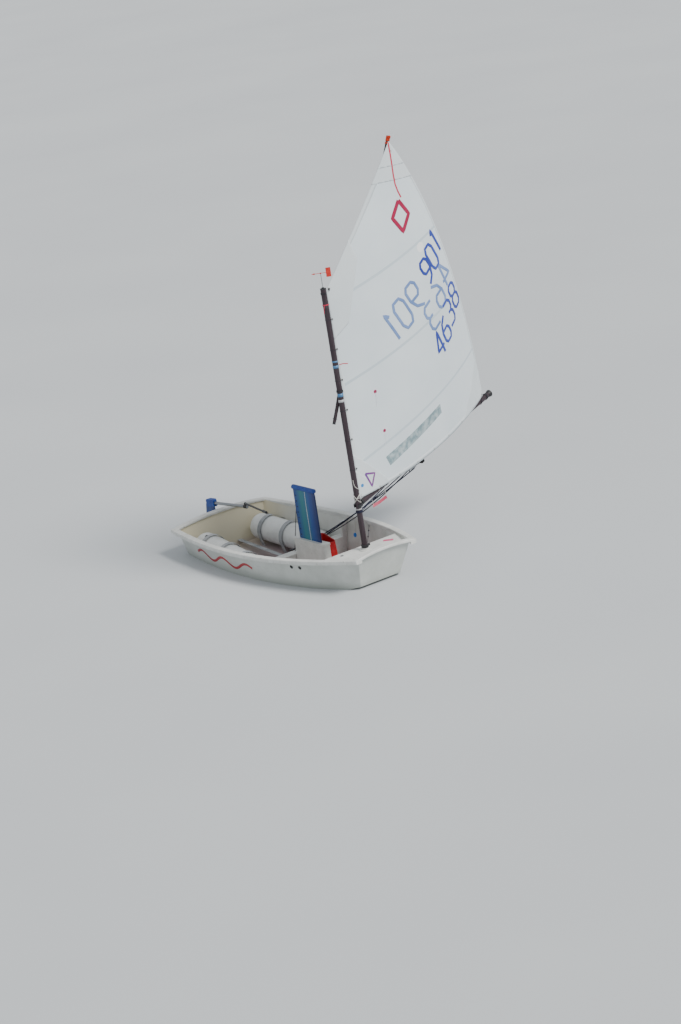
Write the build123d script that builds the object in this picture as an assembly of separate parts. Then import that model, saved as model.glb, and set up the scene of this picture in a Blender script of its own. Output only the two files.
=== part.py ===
from build123d import *
import os
from math import asin, atan2, cos, degrees, hypot, radians, sin

# A small sailing pram dinghy with a sprit sail.
# Millimetres. X runs forward to the bow, Y to port, Z up.
# The origin is amidships on the centreline, at the waterline.

# Hull
hull_length = 2300.0
widest_half_beam = 538.0
draught = 140.0
side_skin = 9.0
bottom_skin = 12.0
corner_round = 10.0
seat_gap = 0.3

# Gunwale
rim_overhang = 41.0
rim_inboard = 14.0
rail_depth = 34.0
rail_round = 7.0
rim_depth = 24.0
rim_cover = 9.0
rim_round = 7.0
transom_cap_width = 55.0

# Stations of the hull from stern to bow. Columns: place of the sheer and of the chine as shares of
# the length, half beam at the sheer and at the chine as shares of the widest half beam, heights of
# the sheer and of the chine above the lowest point of the bottom, crown of a transom at this station.
STATIONS = [
    (0.013, 0.039, 0.829, 0.716, 366.0, 65.0, 40.0),
    (0.240, 0.250, 0.972, 0.846, 360.0, 15.0, 40.0),
    (0.480, 0.480, 1.000, 0.870, 368.0, 0.0, 40.0),
    (0.717, 0.709, 0.870, 0.740, 389.0, 48.0, 36.0),
    (0.987, 0.943, 0.476, 0.364, 432.0, 162.0, 28.0),
]

# Foredeck and mast
deck_length = 380.0
deck_height = 385.0
deck_thickness = 12.0
deck_lip_depth = 60.0
deck_lip = 16.0
mast_from_bow = 274.0
mast_rake = 1.6
mast_diameter = 45.0
mast_foot = -235.0
mast_top = 2080.0
mast_cap_height = 16.0
partner_above = 14.0
partner_wall = 9.0
partner_below = 26.0
partner_flange = 14.0
step_height = 50.0
step_wall = 20.0
bearing_gap = 0.3

# Centreboard case, midship frame and thwart
case_aft = -50.0
case_length = 420.0
case_width = 62.0
case_flange = 36.0
case_height = 345.0
slot_gap = 4.0
guide_gap = 0.5
guide_depth = 16.0
frame_thickness = 24.0
frame_height = 182.0
frame_arm = 84.0
frame_round = 16.0
frame_top_gap = 6.0
thwart_width = 92.0
thwart_thickness = 18.0

# Daggerboard
board_chord = 285.0
board_thickness = 14.0
board_length = 1067.0
board_aft = 9.0
board_top = 760.0
board_corner = 45.0
board_grip_diameter = 40.0
board_grip_length = 292.0

# Rudder
rudder_axis_gap = 26.0
rudder_rake = 10.0
rudder_thickness = 15.0
blade_chord = 250.0
blade_foot = -420.0
head_top = 485.0
pin_diameter = 8.0
pin_gap = 0.3
tiller_diameter = 25.0
tiller_length = 590.0
tiller_slope = 5.0
tiller_height = 440.0
cap_length = 104.0
cap_height = 66.0
cap_width = 41.0
extension_diameter = 16.0
extension_length = 560.0
extension_knuckle = 11.0

# Rig, from the deck up along the mast
gooseneck = 362.0
tack = 405.0
throat = 2068.0
snotter = 1212.0
boom_diameter = 45.0
boom_length = 2010.0
boom_bearing = 72.3
boom_lift = 9.1
sprit_diameter = 27.0
sprit_length = 2200.0
sprit_outboard = 12.0
peak_bearing = 97.4
peak_reach = 757.0
peak_along = 3078.0
sail_thickness = 2.4
sail_gap = 0.4
vane_height = 105.0
vane_heading = 236.0
vane_arm = 46.0
vane_point = 26.0
vane_tail_length = 38.0
vane_tail_height = 72.0

# Fittings inside the hull
block_behind = 34.0
block_height = 150.0
toe_strap_at = 105.0
toe_strap_low = 52.0
toe_strap_high = 120.0
bailer_at = 165.0
bailer_across = 125.0
bailer_length = 165.0
bailer_width = 120.0
bailer_height = 300.0
bailer_floor_rise = 5.0
bailer_lean = 6.0
bailer_wall = 4.0
bailer_slant = 20.0
plug_at = 70.0
plug_height = 220.0
plug_radius = 20.0
eye_from_bow = 323.0
eye_across = -196.0
eye_bore = 6.0

# Buoyancy bags and straps
side_bag_radius = 117.0
side_bag_round = 72.0
bow_bag_radius = 56.0
bow_bag_length = 330.0
strap_width = 40.0
strap_thickness = 2.5

# Places that follow from these sizes. Heights above are from the lowest point of the bottom.
stern = -hull_length / 2
bow = hull_length / 2
base = -draught
deck_aft = bow - deck_length
deck_top = deck_height - draught
mast_at = bow - mast_from_bow
case_top = case_height - draught
thwart_low = frame_height - draught
board_head = board_top - draught
board_end = board_head - board_length
eye_at = bow - eye_from_bow
wide = 2 * widest_half_beam


def along(share):
    return stern + share * hull_length


def frame_at(origin, direction, side=(0, 1, 0)):
    """A plane whose Z runs along direction and whose X lies in the plane of side and direction."""
    z_axis = Vector(*direction).normalized()
    y_axis = z_axis.cross(Vector(*side)).normalized()
    return Plane(origin=origin, x_dir=y_axis.cross(z_axis), z_dir=z_axis)


def rod(start, end, radius):
    start, end = Vector(*start), Vector(*end)
    place = Plane(origin=start, z_dir=end - start)
    return place * Cylinder(radius, (end - start).length, align=(Align.CENTER, Align.CENTER, Align.MIN))


def outline(points):
    return make_face(Polyline(*points, close=True))


def slab(low, high):
    size = [b - a for a, b in zip(low, high)]
    return Pos(*low) * Box(*size, align=(Align.MIN, Align.MIN, Align.MIN))


def mirrored(shape):
    return mirror(shape, about=Plane.XZ)


# Hull shell

def section(row, inset=0.0, lift=0.0, shift=0.0, reach=1.0):
    """One station as a face: flat bottom, straight flared sides and a crowned top."""
    sheer_at, chine_at, sheer_beam, chine_beam, sheer_height, chine_height, crown = row
    chine = Vector(
        along(chine_at) + shift,
        chine_beam * widest_half_beam - inset,
        chine_height - draught + lift,
    )
    sheer = Vector(
        along(sheer_at) + shift,
        sheer_beam * widest_half_beam - inset,
        sheer_height - rim_cover - draught,
    )
    top = chine + (sheer - chine) * reach
    rise = (sheer - chine) * (crown / (sheer.Z - chine.Z))
    peak = Vector(top.X + rise.X, 0, top.Z + rise.Z)
    chine_across = Vector(chine.X, -chine.Y, chine.Z)
    top_across = Vector(top.X, -top.Y, top.Z)
    return make_face(
        Line(chine_across, chine)
        + Line(chine, top)
        + ThreePointArc(top, peak, top_across)
        + Line(top_across, chine_across)
    )


def hull_body():
    """The outside of the hull, its bottom and corner edges rounded."""
    hull = loft([section(row) for row in STATIONS])
    chines = hull.edges().filter_by(lambda edge: edge.length > hull_length / 2).group_by(Axis.Z)[0]
    ends = hull.edges().filter_by(lambda edge: abs(edge.tangent_at(0.5).X) < 0.5)
    crowns = ends.sort_by(lambda edge: edge.center().Z - draught * (abs(edge.center().Y) > 50))[-2:]
    return fillet(chines + (ends - crowns), corner_round)


def hull_cavity():
    shifts = [side_skin, 0, 0, 0, -side_skin]
    return loft([section(row, side_skin, bottom_skin, shift, 1.3) for row, shift in zip(STATIONS, shifts)])


body = hull_body()
cavity = hull_cavity()


def board_plan(gap=0.0):
    """The slot or the board seen from above, with round ends."""
    length = board_chord + 2 * gap
    width = board_thickness + 2 * gap
    return Pos(board_aft + board_chord / 2, 0) * SlotOverall(length, width)


def board_slot():
    return Pos(0, 0, base - 50) * extrude(board_plan(slot_gap), case_height + 130)


hull_shell = body - cavity - board_slot()


# Gunwale rim: two side rails and a crowned cap on each transom

def rim_rail():
    width = rim_overhang + rim_inboard
    faces = []
    for row in STATIONS:
        at = {STATIONS[0]: 0.0, STATIONS[-1]: 1.0}.get(row, row[0])
        centre = row[2] * widest_half_beam + (rim_overhang - rim_inboard) / 2
        top = row[4] - draught
        place = Plane(origin=(along(at), centre, top - rail_depth / 2), x_dir=(0, 1, 0), z_dir=(1, 0, 0))
        faces.append(place * RectangleRounded(width, rail_depth, rail_round))
    return loft(faces)


def transom_cap(row, end, inboard):
    """A crowned bar over a transom, turned about the centre of its crown."""
    half = row[2] * widest_half_beam + rim_overhang - rim_round
    crown = row[6]
    top = row[4] - draught
    radius = (half**2 + crown**2) / (2 * crown)
    centre = top + crown - radius
    turn = degrees(asin(half / radius))
    middle = end + inboard * transom_cap_width / 2
    place = Plane(origin=(middle, 0, top + crown - rim_depth / 2), x_dir=(1, 0, 0), z_dir=(0, -1, 0))
    profile = place * RectangleRounded(transom_cap_width, rim_depth, rim_round)
    hinge = Axis((middle, 0, centre), (1, 0, 0))
    return revolve(profile.rotate(hinge, -turn), axis=hinge, revolution_arc=2 * turn)


def gunwale_rim():
    rail = rim_rail()
    rim = rail + mirrored(rail)
    rim += transom_cap(STATIONS[0], stern, 1)
    rim += transom_cap(STATIONS[-1], bow, -1)
    return rim - hull_shell


gunwale = gunwale_rim()


# Mast line

mast_axis = Vector(-sin(radians(mast_rake)), 0, cos(radians(mast_rake)))
partner = Vector(mast_at, 0, deck_top + 4)
port = Vector(0, 1, 0)
aft_of_mast = Vector(-cos(radians(mast_rake)), 0, -sin(radians(mast_rake)))


def on_mast(t):
    return partner + mast_axis * t


def mast_bar(low, high, radius):
    return rod(on_mast(low), on_mast(high), radius)


def bearing(angle):
    """A direction square to the mast, turned from aft towards port."""
    return aft_of_mast * cos(radians(angle)) + port * sin(radians(angle))


# Foredeck, partner and step

mast_bore = mast_diameter / 2 + bearing_gap
partner_radius = mast_bore + partner_wall


def foredeck():
    """A flat deck inside the rim, with a lip that hangs from its aft edge."""
    deck = slab((deck_aft, -wide, deck_top - deck_thickness), (bow, wide, deck_top))
    lip = slab((deck_aft, -wide, deck_top - deck_lip_depth), (deck_aft + deck_lip, wide, deck_top))
    deck = (deck + lip) & cavity
    deck -= Pos(eye_at, eye_across, deck_top) * Cylinder(eye_bore + 4, 4 * deck_thickness)
    return deck - gunwale - mast_bar(-60, 30, partner_radius + seat_gap)


def mast_collar():
    barrel = mast_bar(-partner_below, partner_above, partner_radius)
    flange = Pos(mast_at, 0, deck_top) * Cylinder(
        partner_radius + partner_flange, 7, align=(Align.CENTER, Align.CENTER, Align.MIN)
    )
    return barrel + flange - mast_bar(-60, 60, mast_bore)


def mast_step():
    """A cup for the mast's foot on a plate that fits the floor."""
    foot = on_mast(mast_foot)
    cup = Pos(foot.X, 0, foot.Z - 60) * Cylinder(
        mast_bore + step_wall, step_height + 60, align=(Align.CENTER, Align.CENTER, Align.MIN)
    )
    plate = slab((foot.X - 75, -95, base), (foot.X + 26, 95, foot.Z - 4))
    step = (cup + plate) & cavity
    return step - mast_bar(mast_foot - seat_gap, mast_foot + 100, mast_bore)


# Midship frame, thwart and case

def case_plan(width):
    return Pos(case_aft + case_length / 2, 0) * RectangleRounded(case_length, width, case_width * 0.3)


def daggerboard_case():
    """A box on the floor round the slot, with a flange at its foot and a guide at its top."""
    wall = Pos(0, 0, base) * extrude(case_plan(case_width), case_height)
    foot = Pos(0, 0, base) * extrude(case_plan(case_width + case_flange), bottom_skin + 10)
    collar = Pos(0, 0, case_top - guide_depth) * extrude(case_plan(case_width + 12), guide_depth)
    below = board_slot() & slab((-wide, -wide, -wide), (wide, wide, case_top - guide_depth))
    guide = Pos(0, 0, case_top - 2 * guide_depth) * extrude(board_plan(guide_gap), 4 * guide_depth)
    return ((wall + foot + collar) & cavity) - below - guide


def midship_frame():
    """A bulkhead under the thwart whose arms run up the sides to the gunwale."""
    top = STATIONS[2][4] - draught - rail_depth - frame_top_gap
    wall = slab((case_aft - frame_thickness, -wide, base), (case_aft - seat_gap, wide, top)) & cavity
    gap_half = widest_half_beam - frame_arm
    gap = Pos(case_aft, 0, thwart_low + wide / 2) * Box(4 * frame_thickness, 2 * gap_half, wide)
    return wall - fillet(gap.edges().filter_by(Axis.X).group_by(Axis.Z)[0], frame_round)


def midship_thwart():
    low = (case_aft - thwart_width, -wide, thwart_low)
    high = (case_aft - seat_gap, wide, thwart_low + thwart_thickness)
    plank = (slab(low, high) & cavity) - midship_frame()
    return plank.solids().sort_by(SortBy.VOLUME)[-1]


# Daggerboard

def daggerboard():
    """A plate with round edges whose lower corners are rounded too."""
    middle = board_aft + board_chord / 2
    side = Plane.XZ * Pos(middle, board_head - board_length / 2) * Rectangle(board_chord, board_length)
    side = fillet(side.vertices().group_by(Axis.Z)[0], board_corner)
    plank = extrude(side, board_thickness, both=True)
    return plank & Pos(0, 0, board_end) * extrude(board_plan(), board_length)


def daggerboard_grip():
    """A round bar that caps the board from end to end."""
    middle = board_aft + board_chord / 2
    bar = Rot(0, 90, 0) * Cylinder(board_grip_diameter / 2, board_grip_length)
    bar = Pos(middle, 0, board_head + board_grip_diameter * 0.32) * fillet(bar.edges().filter_by(GeomType.CIRCLE), 8)
    return bar - slab((-wide, -wide, -wide), (wide, wide, board_head))


# Rudder: its axis stands off the transom and leans with it

rudder_axis = Vector(-sin(radians(rudder_rake)), 0, cos(radians(rudder_rake)))
rudder_across = Vector(cos(radians(rudder_rake)), 0, sin(radians(rudder_rake)))
rudder_origin = Vector(stern - rudder_axis_gap, 0, STATIONS[0][4] - draught)
rudder_plane = Plane(origin=rudder_origin, x_dir=rudder_across, z_dir=(0, -1, 0))
GUDGEON_HEIGHTS = (-50.0, -250.0)
gudgeon_height = 14.0


def rudder_point(forward, up):
    return rudder_origin + rudder_plane.x_dir * forward + rudder_axis * up


def rudder_blade():
    """One plate: a narrow head above the pintles and a deep blade below them."""
    front = -14.0
    low = blade_foot - STATIONS[0][4]
    top = head_top - STATIONS[0][4]
    profile = outline([
        (front, top),
        (front - 95, top - 12),
        (front - 135, top - 120),
        (front - blade_chord, top - 330),
        (front - blade_chord, low + 70),
        (front - blade_chord + 70, low),
        (front - 60, low),
        (front, low + 90),
    ])
    profile = fillet(profile.vertices(), 24)
    plate = extrude(rudder_plane * profile, rudder_thickness / 2, both=True)
    above = head_plane() * Pos(0, 200) * Box(600, 400, 100)
    return plate - above - tiller_socket(seat_gap)


def tiller_line(distance):
    turn = radians(tiller_slope)
    start = Vector(rudder_origin.X - 110, 0, tiller_height - draught)
    return start + Vector(cos(turn), 0, sin(turn)) * distance


def tiller_socket(gap=0.0):
    return rod(tiller_line(-40), tiller_line(200), tiller_diameter / 2 + gap)


def head_plane():
    """Centred on the head, X along the tiller and Y up."""
    turn = radians(tiller_slope)
    return Plane(origin=tiller_line(58), x_dir=(cos(turn), 0, sin(turn)), z_dir=(0, -1, 0))


def rudder_head():
    """A cap over the tiller whose cheeks straddle the top of the blade."""
    cap = extrude(head_plane() * RectangleRounded(cap_length, cap_height, 14), cap_width / 2, both=True)
    blade_slot = head_plane() * Pos(0, -cap_height) * Rectangle(2 * cap_length, 2 * cap_height)
    blade_slot = extrude(blade_slot, rudder_thickness / 2 + seat_gap, both=True)
    return cap - blade_slot - tiller_socket(seat_gap)


def tiller():
    return rod(tiller_line(0), tiller_line(tiller_length), tiller_diameter / 2)


extension_start = tiller_line(tiller_length - 22) + Vector(0, 0, tiller_diameter / 2 + 14)
extension_bearing = 17.0
extension_way = Vector(cos(radians(extension_bearing)), -sin(radians(extension_bearing)), 0.10).normalized()


def extension_joint():
    base = tiller_line(tiller_length - 22)
    post = rod(base + Vector(0, 0, tiller_diameter / 2 - 1), extension_start, 7)
    collar = rod(tiller_line(tiller_length - 40), tiller_line(tiller_length - 4), tiller_diameter / 2 + 4)
    knuckle = Pos(*extension_start) * Sphere(extension_knuckle)
    return post + collar + knuckle - tiller()


def tiller_extension():
    start = extension_start + extension_way * (extension_knuckle + seat_gap)
    bar = rod(start, start + extension_way * extension_length, extension_diameter / 2)
    grip = rod(start + extension_way * (extension_length - 90), start + extension_way * extension_length,
               extension_diameter / 2 + 3)
    return bar + grip


def rudder_pintles():
    parts = []
    for height in GUDGEON_HEIGHTS:
        upper = height + gudgeon_height / 2 + seat_gap
        pin = rod(rudder_point(0, upper - 34), rudder_point(0, upper + 6), pin_diameter / 2)
        strap = rudder_plane * Pos(-28, upper + 9) * Rectangle(76, 18)
        strap = extrude(strap, rudder_thickness / 2 + 3, both=True)
        parts.append(pin + strap)
    return Compound(children=[part.solid() - rudder_blade() for part in parts])


def transom_gudgeons():
    parts = []
    for height in GUDGEON_HEIGHTS:
        ring = rod(rudder_point(0, height - gudgeon_height / 2), rudder_point(0, height + gudgeon_height / 2), 10)
        arm = rudder_plane * Pos(60, height) * Rectangle(120, gudgeon_height)
        arm = extrude(arm, 7, both=True)
        bracket = ring + arm - rod(rudder_point(0, height - 40), rudder_point(0, height + 40),
                                   pin_diameter / 2 + pin_gap)
        parts.append((bracket - body - gunwale).solids().sort_by(Axis.X)[0])
    return Compound(children=parts)


# Spars

boom_root = on_mast(gooseneck)
boom_way = bearing(boom_bearing) * cos(radians(boom_lift)) + mast_axis * sin(radians(boom_lift))
boom_across = boom_way.cross(mast_axis).normalized()
boom_up = boom_across.cross(boom_way)
boom_plane = Plane(origin=boom_root, x_dir=boom_way, z_dir=boom_up)
jaw_reach = 34.0


def mast():
    return mast_bar(mast_foot, mast_top, mast_diameter / 2)


def mast_cap():
    cap = mast_bar(mast_top + seat_gap, mast_top + mast_cap_height / 2, mast_diameter / 2 + 1)
    return cap + mast_bar(mast_top + mast_cap_height / 2, mast_top + mast_cap_height, 9)


def mast_clamp():
    inner = mast_diameter / 2 + bearing_gap
    clamp = mast_bar(partner_above + 5, partner_above + 25, inner + 7)
    lug = frame_at(on_mast(partner_above + 15), mast_axis) * Pos(inner + 12, 0, 0) * Box(24, 16, 16)
    return clamp + lug - mast_bar(0, 100, inner)


def boom():
    return rod(boom_root + boom_way * 60, boom_root + boom_way * boom_length, boom_diameter / 2)


def boom_jaws():
    """A forged fork round the mast on a sleeve over the boom's inner end."""
    inner = mast_diameter / 2 + bearing_gap
    fork = boom_plane * Cylinder(inner + 13, 22)
    fork += boom_plane * Pos(jaw_reach, 0, 0) * Box(50, 34, 22)
    fork += rod(boom_root + boom_way * 40, boom_root + boom_way * 59.5, boom_diameter / 2)
    opening = boom_plane * Pos(-45, 0, 0) * Box(60, 2 * inner - 8, 60)
    return fork - mast_bar(gooseneck - 90, gooseneck + 90, inner) - opening


def boom_end():
    plug = Cone(boom_diameter / 2 + 1, boom_diameter / 2 + 8, 34, align=(Align.CENTER, Align.CENTER, Align.MIN))
    return Plane(origin=boom_root + boom_way * (boom_length + seat_gap), z_dir=boom_way) * plug


def pulley(wheel_radius, cheek_gap):
    """A block seen from the side: two cheeks, the wheel between them and its pin."""
    cheek = SlotCenterToCenter(wheel_radius * 0.7, 2 * wheel_radius + 6)
    cheeks = Pos(0, 0, cheek_gap / 2) * extrude(cheek, 4) + Pos(0, 0, -cheek_gap / 2 - 4) * extrude(cheek, 4)
    wheel = Cylinder(wheel_radius, cheek_gap - 2) - Torus(wheel_radius + 1.5, 4)
    return cheeks + wheel + Cylinder(5, cheek_gap + 12)


boom_block_at = 920.0


def boom_block():
    hold = boom_plane * Pos(boom_block_at, 0, 0)
    band = hold * Rot(0, 90, 0) * (Cylinder(boom_diameter / 2 + 4, 18) - Cylinder(boom_diameter / 2 + seat_gap, 18))
    tang = hold * Pos(0, 0, -boom_diameter / 2 - 14) * Box(14, 6, 24)
    wheel = hold * Pos(0, 0, -boom_diameter / 2 - 46) * Rot(90, 90, 0) * pulley(17, 10)
    return band + tang + wheel


peak = on_mast(peak_along) + bearing(peak_bearing) * peak_reach


def windward(angle):
    """The side of the sail that faces aft, square to a bearing."""
    return bearing(angle).cross(mast_axis).normalized() * -1


sprit_offset = mast_diameter / 2 + sprit_diameter / 2 + seat_gap
sprit_hold = on_mast(snotter) + windward(peak_bearing) * sprit_offset
sprit_top = peak + windward(peak_bearing) * (sprit_diameter / 2 + 6) + bearing(peak_bearing) * sprit_outboard
sprit_way = (sprit_hold - sprit_top).normalized()


def sprit():
    return rod(sprit_top, sprit_top + sprit_way * sprit_length, sprit_diameter / 2)


def sprit_tips():
    upper = rod(sprit_top - sprit_way * 22, sprit_top - sprit_way * seat_gap, sprit_diameter / 2 - 3)
    foot = sprit_top + sprit_way * (sprit_length + seat_gap)
    lower = rod(foot, foot + sprit_way * 18, sprit_diameter / 2 - 1)
    return Compound(children=[upper, lower])


# Sail ribs from the foot to the head. Columns: height of the luff end along the mast, distance of
# the leech end from the mast, its height along the mast, its bearing, the depth of the belly, and
# how far the belly sags.
RIBS = [
    (tack, 1880.0, 706.0, 73.0, 100.0, 42.0),
    (820.0, 1640.0, 1240.0, 78.0, 140.0, 0.0),
    (1240.0, 1370.0, 1820.0, 84.5, 130.0, 0.0),
    (1660.0, 1080.0, 2470.0, 91.5, 90.0, 0.0),
    (throat, 757.0, 3060.0, 97.4, 22.0, 0.0),
]


def rib(row):
    luff_height, reach, leech_height, angle, depth, sag = row
    way = bearing(angle)
    belly = windward(angle) * -depth - mast_axis * sag
    luff = on_mast(luff_height) + way * (mast_diameter / 2 + sail_gap)
    leech = on_mast(leech_height) + way * reach
    middle = (luff + leech) / 2 + belly
    thick = belly.normalized() * sail_thickness
    return make_face(
        ThreePointArc(luff, middle, leech)
        + Line(leech, leech + thick)
        + ThreePointArc(leech + thick, middle + thick, luff + thick)
        + Line(luff + thick, luff)
    )


def sail():
    return loft([rib(row) for row in RIBS])



vane_level = mast_top + mast_cap_height + vane_height


def wind_vane_rod():
    return mast_bar(vane_level - vane_height + seat_gap, vane_level, 3)


def wind_vane():
    """An arrow that turns on the rod: pointer ahead, tail behind."""
    hub = mast_bar(vane_level + 2 * seat_gap, vane_level + 9, 6)
    shaft = Rot(0, 90, 0) * Cylinder(2, 2 * vane_arm)
    tail = Pos(-vane_arm - vane_tail_length / 2 + 5, 0, 0) * Box(vane_tail_length, 2, vane_tail_height)
    point = Pos(vane_arm + vane_point / 2 - 1, 0, 0) * Rot(0, 90, 0) * Cone(7, 1, vane_point)
    centre = on_mast(vane_level + 5)
    return hub + Pos(*centre) * Rot(0, 0, vane_heading) * (shaft + tail + point)


# Buoyancy bags, each lying along a line, with straps over it

def bag(plane, radius, length, round_end):
    tube = Cylinder(radius, length, align=(Align.CENTER, Align.CENTER, Align.MIN))
    return plane * fillet(tube.edges().filter_by(GeomType.CIRCLE), round_end)


side_bag_start = Vector(stern + 122, 0.515 * widest_half_beam, base + side_bag_radius + 86)
side_bag_end = Vector(case_aft - thwart_width - 24, 0.65 * widest_half_beam, base + side_bag_radius + 20)
side_bag_length = (side_bag_end - side_bag_start).length
side_bag_plane = Plane(origin=side_bag_start, x_dir=(0, 1, 0), z_dir=side_bag_end - side_bag_start)
bow_bag_plane = Plane(
    origin=(mast_at + 98, -bow_bag_length / 2, base + bow_bag_radius + 180), x_dir=(1, 0, 0), z_dir=(0, 1, 0)
)


def strap(plane, radius, place, side_turn, foot_turn):
    """Webbing over a bag: an arc round it, and a straight leg at each end that runs to the hull."""
    inner = radius + seat_gap
    middle = inner + strap_thickness / 2
    swept = foot_turn - side_turn
    profile = Circle(middle + strap_thickness / 2) - Circle(inner)
    wedge = [(0, 0)]
    for step in range(5):
        turn = radians(side_turn + swept * step / 4)
        wedge.append((4 * radius * cos(turn), 4 * radius * sin(turn)))
    profile = profile & outline(wedge)
    for turn, sense in ((side_turn, 1), (foot_turn, -1)):
        if swept > 0:
            sense = -sense
        profile += Rot(0, 0, turn) * Pos(middle, sense * 100) * Rectangle(strap_thickness, 200)
    return (plane * Pos(0, 0, place) * extrude(profile, strap_width)) & cavity


def side_bag(gap=0.0):
    return bag(side_bag_plane, side_bag_radius + gap, side_bag_length, side_bag_round)


SIDE_STRAP_PLACES = (150.0, 420.0, 690.0)
BOW_STRAP_PLACES = (70.0, 220.0)


def bag_straps():
    straps = [strap(side_bag_plane, side_bag_radius, place, 60, 200) for place in SIDE_STRAP_PLACES]
    return Compound(children=[piece.solid() for piece in straps])


def bow_straps():
    straps = [strap(bow_bag_plane, bow_bag_radius, place, -20, -215) for place in BOW_STRAP_PLACES]
    return Compound(children=[piece.solid() for piece in straps])


# Floor block, toe straps, bailer, plug and deck grommet

block_at = case_aft - thwart_width - block_behind


def floor_block():
    """The sheet's block on a short post and a foot on the floor, aft of the thwart."""
    floor = base + bottom_skin
    foot = Pos(block_at, 0, base) * Cylinder(30, bottom_skin + 6, align=(Align.CENTER, Align.CENTER, Align.MIN))
    post = Pos(block_at, 0, floor + 4) * Cylinder(
        8, block_height - 26, align=(Align.CENTER, Align.CENTER, Align.MIN)
    )
    foot = (foot + post) & cavity
    wheel = Pos(block_at, 0, floor + block_height) * Rot(90, 90, 0) * pulley(24, 14)
    return foot + wheel


def toe_straps():
    """Two webbing straps stretched from the midship frame to the transom."""
    start = Vector(case_aft - frame_thickness - 40, toe_strap_at, base + toe_strap_low)
    end = Vector(stern, toe_strap_at, base + toe_strap_high)
    way = Plane(origin=(start + end) / 2, x_dir=end - start, z_dir=(0, -1, 0))
    long = (end - start).length + 40
    strap = extrude(way * Rectangle(long, strap_thickness), strap_width / 2, both=True)
    low = (start.X - 20, toe_strap_at - 28, base)
    high = (case_aft - frame_thickness - seat_gap, toe_strap_at + 28, start.Z + 8)
    anchor = slab(low, high)
    strap = ((strap + anchor) & cavity) - midship_frame()
    strap = strap.solids().sort_by(SortBy.VOLUME)[-1]
    return Compound(children=[strap, mirrored(strap)])


def bailer():
    """A scoop cut from a plastic can, standing on the floor with its slanted mouth up."""
    def can(inset):
        plan = RectangleRounded(bailer_length - 2 * inset, bailer_width - 2 * inset, 22 - inset)
        return extrude(plan, bailer_height + 200)
    floor = base + bottom_skin + bailer_floor_rise
    shell = Pos(0, 0, floor) * can(0) - Pos(0, 0, floor + bailer_wall) * can(bailer_wall)
    mouth = Pos(0, 0, floor + bailer_height) * Rot(0, bailer_slant, 0) * Pos(0, 0, 250) * Box(600, 400, 500)
    grip = Pos(-bailer_length / 2, 0, floor + bailer_height - 4) * Box(30, 70, 22)
    scoop = Rot(0, -bailer_lean, 0) * (shell - mouth - grip)
    return (Pos(bailer_at, bailer_across, 0) * scoop) & cavity


def side_plug_across():
    """Where the plug's middle lies so that 12 mm of it stands inside the skin."""
    row = STATIONS[2]
    share = plug_height / (row[4] - rim_cover)
    return widest_half_beam * (row[3] + (row[2] - row[3]) * share) - side_skin + 18


def side_plug():
    """The round cap of a drain opening in the port side."""
    place = Pos(plug_at, side_plug_across(), base + plug_height)
    plug = place * Rot(-90, 0, 0) * Cylinder(plug_radius, 60)
    return plug & cavity


def deck_grommet():
    """A bushing through the foredeck for the towing line."""
    middle = Vector(eye_at, eye_across, deck_top - deck_thickness / 2)
    sleeve = Pos(*middle) * Cylinder(eye_bore + 4, deck_thickness + 6)
    lips = Cylinder(eye_bore + 8, 2.5)
    sleeve += Pos(0, 0, deck_top + 1.25) * Pos(middle.X, middle.Y) * lips
    return sleeve - Pos(*middle) * Cylinder(eye_bore, 60)


os.makedirs("parts", exist_ok=True)
PARTS = {
    "hull_shell": hull_shell,
    "gunwale_rim": gunwale,
    "foredeck": foredeck(),
    "mast_collar": mast_collar(),
    "mast_step": mast_step(),
    "daggerboard_case": daggerboard_case(),
    "midship_thwart": midship_thwart(),
    "midship_frame": midship_frame(),
    "daggerboard": daggerboard(),
    "daggerboard_grip": daggerboard_grip(),
    "rudder_blade": rudder_blade(),
    "rudder_head": rudder_head(),
    "tiller": tiller(),
    "extension_joint": extension_joint(),
    "tiller_extension": tiller_extension(),
    "rudder_pintles": rudder_pintles(),
    "transom_gudgeons": transom_gudgeons(),
    "mast": mast(),
    "mast_cap": mast_cap(),
    "mast_clamp": mast_clamp(),
    "boom": boom(),
    "boom_jaws": boom_jaws(),
    "boom_end": boom_end(),
    "boom_block": boom_block(),
    "sprit": sprit(),
    "sprit_tips": sprit_tips(),
    "sail": sail(),
    "wind_vane_rod": wind_vane_rod(),
    "wind_vane": wind_vane(),
    "buoyancy_bag_port": side_bag(),
    "buoyancy_bag_starboard": mirrored(side_bag()),
    "buoyancy_bag_bow": bag(bow_bag_plane, bow_bag_radius, bow_bag_length, 30),
    "floor_block": floor_block(),
    "toe_straps": toe_straps(),
    "bailer": bailer(),
    "deck_grommet": deck_grommet(),
    "side_plug": side_plug(),
    "bag_straps_port": bag_straps(),
    "bag_straps_starboard": mirrored(bag_straps()),
    "bag_straps_bow": bow_straps(),
}
for name, shape in PARTS.items():
    export_step(shape, f"parts/{name}.step")
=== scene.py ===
from math import acos, asin, ceil, cos, pi, prod, radians, sin
import bmesh
import bpy
from mathutils import Matrix, Vector
from mathutils.bvhtree import BVHTree


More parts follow.
